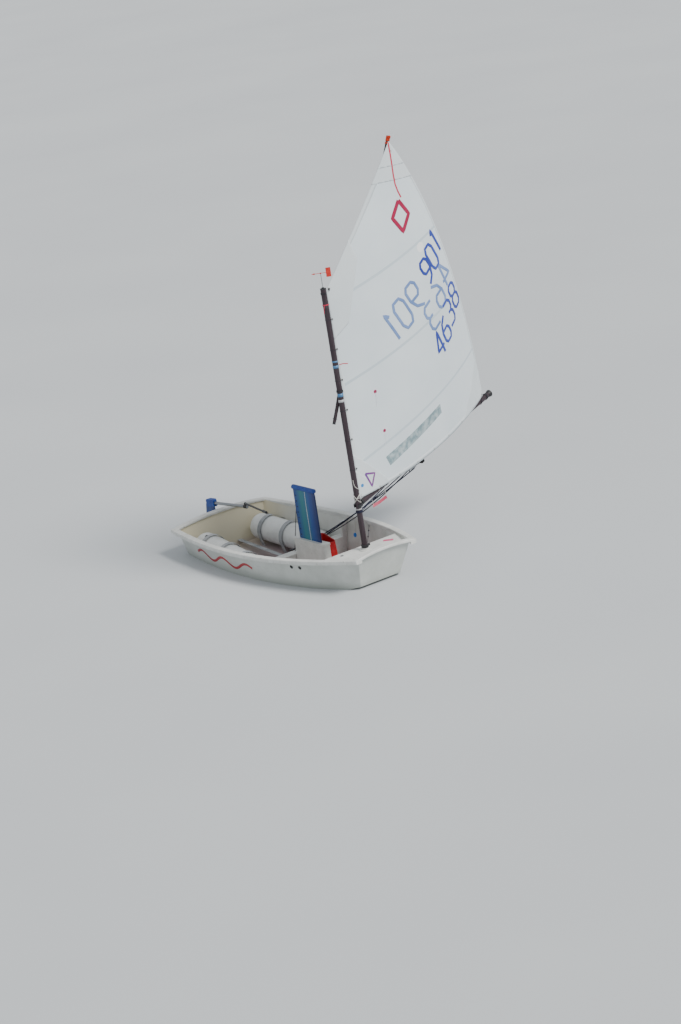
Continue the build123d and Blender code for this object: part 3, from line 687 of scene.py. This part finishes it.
# Marks on the sail.
# Sail numbers are blue adhesive film on both faces, with a red lozenge above them, a purple sign at
# the tack, wool telltales on round patches and a red line down from the peak. Each face also has a
# paler blue copy of the number on the other face, laid on as film: painted shade where that number
# blocks the light coming through the cloth from behind. The digits and signs are plain ones of their own.
def surface_of(pieces):
    """One search tree over several finished pieces."""
    deps = bpy.context.evaluated_depsgraph_get()
    points, faces = [], []
    for piece in pieces:
        mesh = piece.evaluated_get(deps).to_mesh()
        first = len(points)
        points += [v.co.copy() for v in mesh.vertices]
        faces += [[first + i for i in p.vertices] for p in mesh.polygons]
    return BVHTree.FromPolygons(points, faces)


sail_surface = surface_of([sail] + sewn_on)
marks_low, marks_span, clear_of_sail = 0.6, 2.3, 0.6


def flat_point(out, along, degrees):
    return on_mast(along) + bearing(degrees) * out


def on_face(out, along, proud, side):
    """A point on the sail's face at a distance from the mast and a height along it."""
    rise = min(max((along - marks_low) / marks_span, 0), 1)
    degrees = foot_bearing + (head_bearing - foot_bearing) * rise
    way = leeward(degrees) * side
    start = flat_point(out, along, degrees) + way * clear_of_sail
    hit = sail_surface.ray_cast(start, -way)[0]
    return (hit if hit else flat_point(out, along, degrees)) + way * proud


def lee_face(out, along, proud):
    return on_face(out, along, proud, 1)


def windward_face(out, along, proud):
    return on_face(out, along, proud, -1)


def line_mesh(name, runs, thickness, closed=False):
    """Round cords along runs of points, as one mesh."""
    line = bpy.data.curves.new(name, "CURVE")
    line.dimensions = "3D"
    line.bevel_depth = thickness / 2
    line.bevel_resolution = 2
    line.use_fill_caps = True
    for run in runs:
        spline = line.splines.new("POLY")
        spline.points.add(len(run) - 1)
        spline.use_cyclic_u = closed
        for point, place in zip(spline.points, run):
            point.co = (*place, 1)
    drawn = new_object(name, line)
    mesh = evaluated_mesh(drawn)
    bpy.data.objects.remove(drawn)
    for polygon in mesh.polygons:
        polygon.use_smooth = True
    return mesh


def cordage(name, runs, thickness, material, body="rig", closed=False):
    """Taut cords as one piece that rides on a body, for most of them the rig."""
    return place_mesh(name, line_mesh(name, runs, thickness, closed), material, body)


def spaced(points, step=0.02):
    """A drawn line's points with more between them, no further apart than a step."""
    more = []
    for a, b in zip(points, points[1:]):
        a, b = Vector(a), Vector(b)
        parts = max(1, ceil((b - a).length / step))
        more += [a.lerp(b, i / parts) for i in range(parts)]
    return more + [Vector(points[-1])]


def laid_lines(name, runs, width, material, lay, body="rig", proud=0.0005):
    """Lines drawn flat, then flattened on a surface by the function that lays them there."""
    mesh = line_mesh(name, [[Vector((*point, 0)) for point in spaced(run)] for run in runs], width)
    for vertex in mesh.vertices:
        vertex.co = lay(vertex.co.x, vertex.co.y, proud + 0.0008 * max(vertex.co.z, 0) / width)
    place_mesh(name, mesh, material, body)


def laid_discs(name, places, radius, material, lay, body="rig", proud=0.0005):
    """Round spots of thin film on a surface."""
    bm = bmesh.new()
    for x, y in places:
        middle = Matrix.Translation((x, y, 0))
        bmesh.ops.create_circle(bm, cap_ends=True, segments=24, radius=radius, matrix=middle)
    outward = (lay(*places[0], 0.1) - lay(*places[0], 0.0)).normalized()
    for vertex in bm.verts:
        vertex.co = lay(vertex.co.x, vertex.co.y, proud)
    bm.normal_update()
    bmesh.ops.reverse_faces(bm, faces=[f for f in bm.faces if f.normal.dot(outward) < 0])
    thicken(mesh_piece(name, bm, material, body), 0.0004, offset=-1.0)


def film(name, codes, roughness=0.45):
    """Adhesive film or woven thread in one colour, with slight fading."""
    return mottled(name, codes, 6.0, 5.0, roughness, stops=(0.35, 0.65))


digits = {
    "1": [[(0.28, 0), (0.28, 1), (0.14, 0.82)]],
    "0": [[(0, 0.2), (0.12, 0), (0.43, 0), (0.55, 0.2), (0.55, 0.8), (0.43, 1), (0.12, 1), (0, 0.8),
           (0, 0.2)]],
    "3": [[(0, 1), (0.42, 1), (0.55, 0.86), (0.55, 0.64), (0.42, 0.52), (0.2, 0.52)],
          [(0.42, 0.52), (0.55, 0.38), (0.55, 0.14), (0.42, 0), (0, 0)]],
    "4": [[(0.42, 0), (0.42, 1), (0, 0.3), (0.58, 0.3)]],
    "6": [[(0.5, 1), (0.16, 0.8), (0, 0.48), (0, 0.14), (0.12, 0), (0.43, 0), (0.55, 0.14), (0.55, 0.4),
           (0.43, 0.54), (0.04, 0.52)]],
    "8": [[(0.14, 0.53), (0.02, 0.66), (0.02, 0.88), (0.14, 1), (0.41, 1), (0.53, 0.88), (0.53, 0.66),
           (0.41, 0.53), (0.14, 0.53), (0, 0.39), (0, 0.13), (0.13, 0), (0.42, 0), (0.55, 0.13), (0.55, 0.39),
           (0.41, 0.53)]],
}
digits["9"] = [[(0.55 - x, 1 - y) for x, y in digits["6"][0]]]


def number(text, middles, upward, height, reading):
    """A number's lines: each digit about its own middle, leaning as the row does."""
    rise = Vector(upward).normalized() * height
    across = Vector((rise.y, -rise.x)) * reading
    runs = []
    for sign, middle in zip(text, middles):
        for run in digits[sign]:
            runs.append([Vector(middle) + rise * (y - 0.5) + across * (x - 0.28) for x, y in run])
    return runs


lee_lean, windward_lean = (-0.53, 0.85), (-0.51, 0.86)
lower_lee_row = [(1.048, 1.377), (1.152, 1.472), (1.236, 1.588), (1.328, 1.706)]
lee_rows = number("901", [(0.974, 1.992), (1.056, 2.086), (1.128, 2.198)], lee_lean, 0.215, 0.82)
lee_rows += number("4638", lower_lee_row, lee_lean, 0.225, 0.8)
windward_rows = number("901", [(0.788, 1.830), (0.640, 1.735), (0.510, 1.655)], windward_lean, 0.25, -0.9)
windward_rows += number("463", [(1.204, 1.920), (1.090, 1.775), (0.971, 1.627)], windward_lean, 0.235, -0.9)
number_film = film("blue_adhesive_film", ("#1f3396", "#2d45a6"))
# Paler blue film for the painted shade of each number seen through the cloth.
backlit_number_shade = film("painted_shade_of_number_through_sail", ("#6480b6", "#7a94c4"))
red_film = film("crimson_adhesive_film", ("#97093c", "#a81046"))
purple_film = film("purple_adhesive_film", ("#6b3a8c", "#8e4487"))
white_film = film("white_repair_film", ("#eef1f2", "#f5f6f6"))
light_blue_film = film("light_blue_adhesive_film", ("#2b7fc0", "#3a8fcd"))
round_patch = film("clear_round_patch", ("#dfe0e8", "#e8e7ee"))
magenta_film = film("magenta_film", ("#8e0d42", "#a01450"))
red_wool = film("red_wool_yarn", ("#bd2a43", "#cf3a54"), 0.9)
laid_lines("lee_sail_number", lee_rows, 0.026, number_film, lee_face)
laid_lines("windward_sail_number", windward_rows, 0.026, number_film, windward_face)
# Each face's number copied pale onto the other face: painted shade through the cloth.
laid_lines("lee_number_painted_shade_behind", lee_rows, 0.026, backlit_number_shade, windward_face, proud=0.0003)
laid_lines("windward_number_painted_shade_behind", windward_rows, 0.026, backlit_number_shade, lee_face, proud=0.0003)
lozenge = [[(0.764, 2.60), (0.850, 2.478), (0.764, 2.356), (0.678, 2.478), (0.764, 2.60)]]
peak_line = [[(0.752, 3.052), (0.757, 2.96), (0.758, 2.875), (0.756, 2.80), (0.760, 2.727), (0.775, 2.67),
              (0.797, 2.617)]]
telltales = [(0.284, 1.199), (0.336, 0.867)]
yarns = [[(out, along - 0.01), (out + 0.004, along - 0.06), (out - 0.002, along - 0.12)]
         for out, along in telltales]
for face, lay in (("lee", lee_face), ("windward", windward_face)):
    laid_lines(f"{face}_lozenge", lozenge, 0.034, red_film, lay)
    laid_discs(f"{face}_telltale_patches", telltales, 0.030, round_patch, lay)
    laid_discs(f"{face}_telltale_spots", telltales, 0.014, magenta_film, lay, proud=0.0010)
    laid_lines(f"{face}_telltale_yarns", yarns, 0.004, round_patch, lay, proud=0.0012)
laid_lines("peak_line", peak_line, 0.014, red_wool, lee_face)
laid_lines("luff_telltale", [[(0.030, 1.480), (0.060, 1.482), (0.096, 1.474)]], 0.007, red_wool, lee_face)
laid_lines("tack_sign", [[(0.112, 0.580), (0.205, 0.560), (0.168, 0.462), (0.112, 0.580)]], 0.016,
           purple_film, lee_face)
laid_discs("tack_spot", [(0.071, 0.498)], 0.014, light_blue_film, lee_face)
laid_discs("repair_patch", [(0.925, 2.193)], 0.040, white_film, lee_face)


# Ties and lashings.
# Short lengths of thin polyester cord hold the luff to the mast and the foot to the boom, each
# through a pressed eyelet, and those at the mast are knotted. Heavier lashings hold the corners.
def braid(name, codes, pitch, strand):
    """Braided rope: crossing strands as a bump, with a fleck of a second colour."""
    material, place = start_material(name)
    lie = place.node.outputs["UV"]
    ways = []
    for turn in (strand, -strand):
        sized = add(lie.id_data, "ShaderNodeMapping", {"Vector": lie, "Scale": (pitch, turn, 1.0)})
        ways.append(pattern("Wave", sized.outputs["Vector"], 1.0, bands_direction="DIAGONAL"))
    crossed = maths("MULTIPLY", *ways)
    finish(steps(crossed, (0.45, codes[0]), (0.62, codes[1])), 0.85, [(crossed, 0.5, 0.0008)])
    return material


white_cord = braid("white_braided_cord", ("#c9c8c2", "#dcdbd6"), 60.0, 3.0)
dark_cord = braid("dark_braided_cord", ("#26262c", "#4a4a52"), 60.0, 3.0)
pressed_brass = film("pressed_nickel_brass", ("#9b9a94", "#b4b3ac"), 0.3)


def loop_round(centre, axis, radius, eyelet, turns=14):
    """The line of a cord round a spar and through an eyelet beside it."""
    out = eyelet - centre
    out -= axis * out.dot(axis)
    reach = out.length
    out.normalize()
    side = axis.cross(out)
    touch = acos(min(1.0, radius / reach))
    ring = [eyelet]
    for i in range(turns + 1):
        turn = touch + (2 * pi - 2 * touch) * i / turns
        ring.append(centre + between(out, side, turn) * radius)
    return ring


def knot(place, size):
    """A small overhand knot as three tight turns and two short tails."""
    runs = []
    ways = [Vector((1, 0, 0)), Vector((0, 1, 0)), Vector((0, 0, 1))]
    angles = [t * 0.7 for t in range(10)]
    for first, second in zip(ways, ways[1:] + ways[:1]):
        runs.append([place + between(first, second, angle) * size for angle in angles])
    runs.append([place, place + Vector((0.6, -0.8, -2.2)) * size])
    runs.append([place, place + Vector((-0.9, 0.3, -2.8)) * size])
    return runs


tie_heights = (0.645, 0.880, 1.115, 1.350, 1.590, 1.825)
tie_thickness, luff_twist = 0.003, 24
tie_radius = mast_radius + tie_thickness / 2
luff_runs, knot_runs, eyelets = [], [], []
for height in tie_heights:
    rise = (height - tack_height) / (throat_height - tack_height)
    eyelet = sail_place(0.010, rise)
    centre = on_mast((eyelet - partner).dot(mast_axis))
    luff_runs.append(loop_round(centre, mast_axis, tie_radius, eyelet))
    knot_runs += knot(eyelet + leeward(80) * 0.006, 0.004)
    eyelets.append((eyelet, leeward(foot_bearing + luff_twist * rise)))
boom_root = on_mast(0.362)
boom_slope = radians(9.1)
boom_way = between(bearing(72.3), mast_axis, boom_slope)


def on_boom(along):
    return boom_root + boom_way * along


foot_runs = []
for i in range(1, 8):
    eyelet = sail_place(i / 8, 0.008)
    along = (eyelet - boom_root).dot(boom_way)
    foot_runs.append(loop_round(on_boom(along), boom_way, tie_radius, eyelet))
    eyelets.append((eyelet, leeward(foot_bearing)))
cordage("luff_ties", luff_runs, tie_thickness, dark_cord)
cordage("foot_ties", foot_runs, tie_thickness, white_cord)
cordage("tie_knots", knot_runs, tie_thickness, dark_cord)
tack, clew = sail_place(0.016, 0.010), sail_place(0.986, 0.012)
throat, peak = sail_place(0.03, 0.985), sail_place(0.965, 0.978)
foot_way, head_way = leeward(foot_bearing), leeward(97)
eyelets += [(tack, foot_way), (clew, foot_way), (throat, head_way), (peak, head_way)]


def wound(centre, axis, radius, pitch, turns, lean=0.0, per_turn=16):
    """A cord wound round a spar; a lean tilts its turns."""
    first = axis.orthogonal().normalized()
    second = axis.cross(first).normalized()
    points = []
    for i in range(int(turns * per_turn) + 1):
        turn = 2 * pi * i / per_turn
        along = pitch * i / per_turn + lean * cos(turn)
        points.append(centre + between(first, second, turn) * radius + axis * along)
    return points


def ring_points(centre, axis, radius, count=20):
    """Points round a circle square to an axis."""
    return wound(centre, axis, radius, 0.0, 1, per_turn=count)[:-1]


eyelet_rings = []
corner_count = 4
for i, (middle, way) in enumerate(eyelets):
    size = 0.009 if i >= len(eyelets) - corner_count else 0.006
    for lift in (-0.0016, 0.0016):
        eyelet_rings.append(ring_points(middle + way * lift, way, size))
cordage("sail_eyelets", eyelet_rings, 0.003, pressed_brass, closed=True)

# Lashings at the corners: a white one crossed round the mast at the tack, a dark one at the
# throat, an orange one that ties the peak to the sprit and a dark outhaul at the boom's end.
crossed = [wound(on_mast(0.415), mast_axis, mast_radius + 0.0026, 0.0, 1, lean=lean)
           for lean in (0.034, -0.034, 0.026)]
crossed += [loop_round(on_mast(0.42), mast_axis, mast_radius + 0.003, tack)]
crossed += [[on_mast(0.57 - 0.155 * i / 16) + (leeward(150).lerp(bearing(80), i / 16)).normalized() * 0.0252
             for i in range(17)]]
cordage("tack_lashing", crossed, 0.0042, white_cord)
orange_cord = braid("orange_red_braided_cord", ("#c8381a", "#e2572a"), 40.0, 3.0)
windward = -leeward(head_bearing)
sprit_low = on_mast(1.212) + windward * 0.0363
sprit_high = on_mast(3.078) + bearing(head_bearing) * 0.769 + windward * 0.0195
sprit_way = (sprit_low - sprit_high).normalized()
peak_turns = [wound(sprit_high - sprit_way * 0.020, sprit_way, 0.0145, 0.0062, 6)]
peak_turns += [loop_round(sprit_high + sprit_way * d, sprit_way, 0.0155, peak) for d in (0.030, 0.038)]
peak_turns += knot(sprit_high - sprit_way * 0.012 - windward * 0.014, 0.011)
cordage("peak_lashing", peak_turns, 0.0062, orange_cord)
throat_runs = [loop_round(on_mast(height), mast_axis, mast_radius + 0.0025, throat)
               for height in (2.044, 2.052)]
throat_runs += knot(throat + head_way * 0.008, 0.006)
cordage("throat_lashing", throat_runs, 0.0042, dark_cord)
boom_tip = on_boom(1.965)
clew_seat = on_boom((clew - boom_root).dot(boom_way))
outhaul = [loop_round(clew_seat, boom_way, mast_radius + 0.0025, clew)]
outhaul += [[clew, boom_tip + Vector((0, 0, 0.026))]]
outhaul += [wound(boom_tip, boom_way, mast_radius + 0.0025, 0.0055, 4)]
cordage("outhaul", outhaul, 0.0045, dark_cord)

# Snotter and mast bands.
# The sprit's foot stands in a loop of cord that is led to turns round the mast and on down to a
# knot, and bands of blue and grey tape keep the lashings from sliding.
snotter_foot = sprit_high + sprit_way * 2.175
snotter_hold = on_mast(1.27)
snotter_knot = on_mast(0.78)
snotter = [loop_round(snotter_foot, sprit_way, 0.0165, snotter_foot + windward * 0.004 - sprit_way * 0.05)]
for side in (bearing(70), -bearing(70)):
    snotter.append([snotter_foot - sprit_way * 0.004 + side * 0.018, snotter_hold + windward * 0.028])
snotter += [wound(snotter_hold, mast_axis, mast_radius + 0.003, 0.0056, 3)]
snotter += [[snotter_hold + windward * 0.028, snotter_knot + windward * 0.028]]
snotter += knot(snotter_knot + windward * 0.030, 0.006)
cordage("snotter", snotter, 0.0045, dark_cord)


def tape_bands(name, spans, material):
    """Thin sleeves of tape round the mast, from one height to another."""
    inside, outside = mast_radius + 0.0001, mast_radius + 0.0008
    bm = bmesh.new()
    for low, high in spans:
        corners = ((low, inside), (low, outside), (high, outside), (high, inside))
        points = [on_mast(height) + bearing(90) * out for height, out in corners]
        spin_profile(bm, points, partner, mast_axis, 32)
    for face in bm.faces:
        face.smooth = True
    mesh_piece(name, bm, material, "rig")


tape_bands("blue_mast_tape", [(1.235, 1.262), (1.462, 1.484), (1.508, 1.520)],
           film("blue_vinyl_tape", ("#3d6f9c", "#5585ae"), 0.35))
tape_bands("grey_mast_tape", [(1.192, 1.212), (0.325, 0.335)],
           film("grey_vinyl_tape", ("#a9aaad", "#bdbec1"), 0.4))
red_tie = [wound(on_mast(1.955), mast_axis, mast_radius + 0.002, 0.004, 2)]
tie_end = ((1.958, 0.024), (1.93, 0.045), (1.90, 0.05))
red_tie += [[on_mast(height) - bearing(60) * out for height, out in tie_end]]
cordage("red_mast_tie", red_tie, 0.004, red_wool)


# Mainsheet.
# Two parts of navy braided rope and a standing part of grey-flecked rope, between the wheel on the
# floor and a block hung under the boom. They are slack enough to sag, and go from hull to rig.
sheet_rope = braid("navy_braided_rope", ("#10152f", "#262d52"), 34.0, 4.0)
fleck_rope = braid("grey_flecked_rope", ("#1c1e28", "#9a9ea8"), 34.0, 4.0)
boom_across = boom_way.cross(mast_axis).normalized()
boom_up = boom_across.cross(boom_way)
upper_block = on_boom(0.920) - boom_up * 0.0685
lower_block = Vector((-0.176, 0.0, 0.022))
pull = (upper_block - lower_block).normalized()
sheet_spread = pull.cross(boom_way).normalized()
sheet_thickness, sheet_sag = 0.009, 0.050
sheave_place = upper_block - pull * 0.088
sheave_radius = 0.013


def half_turn(centre, way, across, radius, turns=8):
    """Half a turn round a sheave, from one side to the other."""
    return [centre + between(across, way, pi * i / turns) * radius for i in range(turns + 1)]


def slack(start, end, sag, parts=28):
    """A part of the sheet between two ends, hanging a little below the straight line."""
    return [start.lerp(end, i / parts) - Vector((0, 0, sag * 4 * (i / parts) * (1 - i / parts)))
            for i in range(parts + 1)]


upper_turn = half_turn(sheave_place, pull, sheet_spread, sheave_radius + sheet_thickness / 2)
floor_spread = (Vector((0, 1, 0)) - pull * pull.y).normalized()
lower_turn = half_turn(lower_block, -pull, floor_spread, 0.0235 + sheet_thickness / 2)
round_trip = slack(lower_turn[0], upper_turn[0], sheet_sag) + upper_turn[1:]
round_trip += slack(upper_turn[-1], lower_turn[-1], sheet_sag * 0.7)[1:] + lower_turn[::-1][1:-1]
mainsheet = cordage("mainsheet", [round_trip], sheet_thickness, sheet_rope, None)
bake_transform(mainsheet)
becket_place = sheave_place - pull * 0.034
standing_run = slack(lower_block + Vector((0, 0, 0.038)), becket_place, sheet_sag * 1.8)
standing_part = cordage("sheet_standing_part", [standing_run], sheet_thickness, fleck_rope, None)
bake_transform(standing_part)
cordage("becket_knot", knot(becket_place, 0.008), sheet_thickness * 0.8, fleck_rope)

# Sheet block.
# A small block hangs from the boom's own on a loop of cord: two stamped stainless cheeks with
# rounded ends, a pale nylon sheave that turns between them, and a pin with two heads.
cheek_gap = 0.013
bm = bmesh.new()
along_axis, across_axis = pull, sheet_spread
pin_axis = along_axis.cross(across_axis).normalized()
for side in (-1, 1):
    face = bmesh.ops.create_circle(bm, cap_ends=True, segments=24, radius=0.0145)["verts"]
    for vertex in face:
        stretch = 0.019 if vertex.co.x > 0 else -0.015
        in_plane = along_axis * (vertex.co.x + stretch) + across_axis * vertex.co.y
        vertex.co = sheave_place + in_plane + pin_axis * (side * cheek_gap / 2)
    grown = bmesh.ops.extrude_face_region(bm, geom=list({f for v in face for f in v.link_faces}))["geom"]
    for vertex in (v for v in grown if isinstance(v, bmesh.types.BMVert)):
        vertex.co += pin_axis * (side * 0.002)
bmesh.ops.recalc_face_normals(bm, faces=bm.faces)
cheeks = mesh_piece("sheet_block_cheeks", bm, stainless, "rig")
edge = cheeks.modifiers.new("edge", "BEVEL")
edge.width, edge.segments = 0.0005, 2
sheave_rings = [ring_points(sheave_place, pin_axis, sheave_radius - 0.004, 24),
                ring_points(sheave_place, pin_axis, sheave_radius - 0.008, 20)]
cordage("sheet_block_sheave", sheave_rings, 0.009, film("pale_nylon", ("#c9cac6", "#d8d9d5")), closed=True)
cordage("sheet_block_pin", [[sheave_place - pin_axis * 0.0105, sheave_place + pin_axis * 0.0105]], 0.006,
        stainless)
hanging = [[sheave_place + along_axis * 0.028 + across_axis * side * 0.004,
            upper_block + across_axis * side * 0.010 - pull * 0.004,
            upper_block + across_axis * side * 0.006 + pull * 0.012] for side in (-1, 1)]
cordage("sheet_block_strop", hanging, 0.005, dark_cord)

# Boom preventer and its strap.
# A doubled cord runs from the mast under the jaws to the boom, made fast with turns round both,
# and a faded strip of webbing is tied under it.
preventer_boom = on_boom(0.40)
preventer_mast = on_mast(0.300)
preventer_start = preventer_mast + (preventer_boom - preventer_mast).normalized() * 0.027
preventer_end = preventer_boom - boom_up * 0.026
preventer = [wound(preventer_boom - boom_way * 0.012, boom_way, mast_radius + 0.003, 0.006, 4),
             wound(preventer_mast, mast_axis, mast_radius + 0.003, 0.006, 3)]
for shift in (-0.008, 0.008):
    preventer.append([preventer_start + mast_axis * shift, preventer_end + boom_way * shift])
cordage("boom_preventer", preventer, 0.0055, sheet_rope)
pink_webbing = film("faded_pink_webbing", ("#b2405a", "#cc6577"), 0.85)
strap_start = on_boom(0.175) - boom_up * 0.098
strap_end = on_boom(0.378) - boom_up * 0.118
strap_width = 0.026


def strap_point(share, width):
    """A point of the strap, which waves a little to both sides on its way."""
    return (strap_start.lerp(strap_end, share) + boom_up * ((width - 0.5) * strap_width)
            + boom_across * (sin(share * 5.0) * 0.004))


strap = mesh_piece("preventer_strap", grid(12, 2, strap_point), pink_webbing, "rig")
thicken(strap, 0.002, offset=-1.0)
strap_ties = [[on_boom(along) - boom_up * 0.024, strap_start.lerp(strap_end, share)]
              for along, share in ((0.185, 0.04), (0.372, 0.96))]
cordage("preventer_strap_ties", strap_ties, 0.003, white_cord)


# Marks and small fittings on the hull.
# A hand-painted red wave stands aft on the starboard side, where the photograph has lettering, with
# two black rubber spots near the bow and a magenta strip on the deck. The bow's tow line is made
# fast at the deck's after edge and led to the port side.
hull_tree = search_tree(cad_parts["hull_shell"])


def on_side(along, height, proud):
    """A point on the hull's starboard side."""
    hit = hull_tree.ray_cast(Vector((along, -1.0, height)), Vector((0, 1, 0)))[0]
    return hit - Vector((0, proud, 0))


red_paint = film("brushed_red_enamel", ("#a32a33", "#b93a40"), 0.4)
wave = [[(x / 100 - 0.80, 0.092 + 0.030 * sin(x * 0.19)) for x in range(0, 84, 2)]]
laid_lines("painted_wave", wave, 0.022, red_paint, on_side, "hull")
# Black rubber for the side spots; on the board the same dark film is painted shade in the holes.
black_rubber_and_hole_shade = film("black_rubber_and_hole_shade", ("#121315", "#1e1f22"), 0.6)
laid_discs("side_spots", [(0.494, 0.177), (0.576, 0.177)], 0.015, black_rubber_and_hole_shade, on_side, "hull")

deck_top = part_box("foredeck")[1].z
strip_middle = Vector((0.853, 0.246, deck_top + 0.0004))
strip_turn = Matrix.Rotation(radians(48), 3, "Z")
strip_length, strip_width = 0.080, 0.040
strip = grid(6, 2, lambda x, y: strip_middle + strip_turn @ Vector(
    ((x - 0.5) * strip_length, (y - 0.5) * strip_width, 0)))
mesh_piece("deck_strip", strip, film("faded_magenta_film", ("#c91f5e", "#d0507f"), 0.4), "hull")
deck_eye = Vector((0.795, 0.081, deck_top + 0.005))
side_eye = Vector((0.290, 0.486, 0.204))
line_way = (side_eye - deck_eye).normalized()
bow_line = [[deck_eye, deck_eye.lerp(side_eye, 0.5) - Vector((0, 0, 0.008)), side_eye]]
for share in (0.42, 0.74):
    middle = deck_eye.lerp(side_eye, share) - Vector((0, 0, 0.005))
    bow_line.append(wound(middle, line_way, 0.004, 0.005, 3, per_turn=8))
cordage("bow_line", bow_line, 0.0045, dark_cord, "hull")
eye_rings = [ring_points(deck_eye, Vector((0.6, 0.8, 0)), 0.006, 14),
             ring_points(side_eye, Vector((0.8, 0, 0.6)), 0.006, 14)]
cordage("bow_line_eyes", eye_rings, 0.003, stainless, "hull", closed=True)


# Board's fittings.
# Dark spots of film, painted shade, stand for the row of holes along the after edge, a pale line is
# sewn down the starboard face, the leading edge wears dark rubber, and a shock cord holds the board up.
board_low, board_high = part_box("daggerboard")


def board_face(along, level, proud):
    """A point on the board's starboard face."""
    return Vector((along, board_low.y - proud, level))


holes = [(0.040, 0.565 - i * 0.047) for i in range(9)]
laid_discs("board_holes", holes, 0.0062, black_rubber_and_hole_shade, board_face, "daggerboard", proud=0.0003)
levels = [0.612 - i * 0.03 for i in range(15)]
sewn_line = [[(0.158 + 0.020 * level + 0.004 * sin(level * 9), level) for level in levels]]
groove_cord = film("white_cord_in_a_groove", ("#c4c8cc", "#dadddf"), 0.8)
laid_lines("board_line", sewn_line, 0.006, groove_cord, board_face, "daggerboard", proud=0.0004)
edge_strip = [[Vector((board_high.x - 0.0012, 0, 0.60 - i * 0.04)) for i in range(23)]]
cordage("board_edge_strip", edge_strip, 0.0105, film("dark_blue_rubber", ("#10234f", "#17306a"), 0.5),
        "daggerboard")
cord_foot, cord_head = (-0.140, 0.030, 0.072), (0.006, 0.004, 0.455)
shock_run = [Vector(cord_head).lerp(Vector(cord_foot), i / 16) for i in range(17)]
shock = cordage("board_shock_cord", [shock_run], 0.006, dark_cord, None)
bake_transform(shock)

# Side plug's lanyard and cap.
# Thin cord keeps the plug from being lost, and its cap has two raised rings.
plug_low, plug_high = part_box("side_plug")
plug_middle = (plug_low + plug_high) / 2
lanyard = [plug_middle + Vector(step) for step in ((0, 0, 0), (0.004, 0.006, 0.06), (0.0, 0.020, 0.115))]
cordage("plug_lanyard", [lanyard], 0.003, white_cord, "hull")
cap_face = Vector((plug_middle.x, plug_low.y + 0.0005, plug_middle.z))
cap_rings = [ring_points(cap_face, Vector((0, 1, 0)), radius, 24) for radius in (0.0165, 0.008)]
cordage("plug_cap_rings", cap_rings, 0.004, plug_nylon, "hull", closed=True)
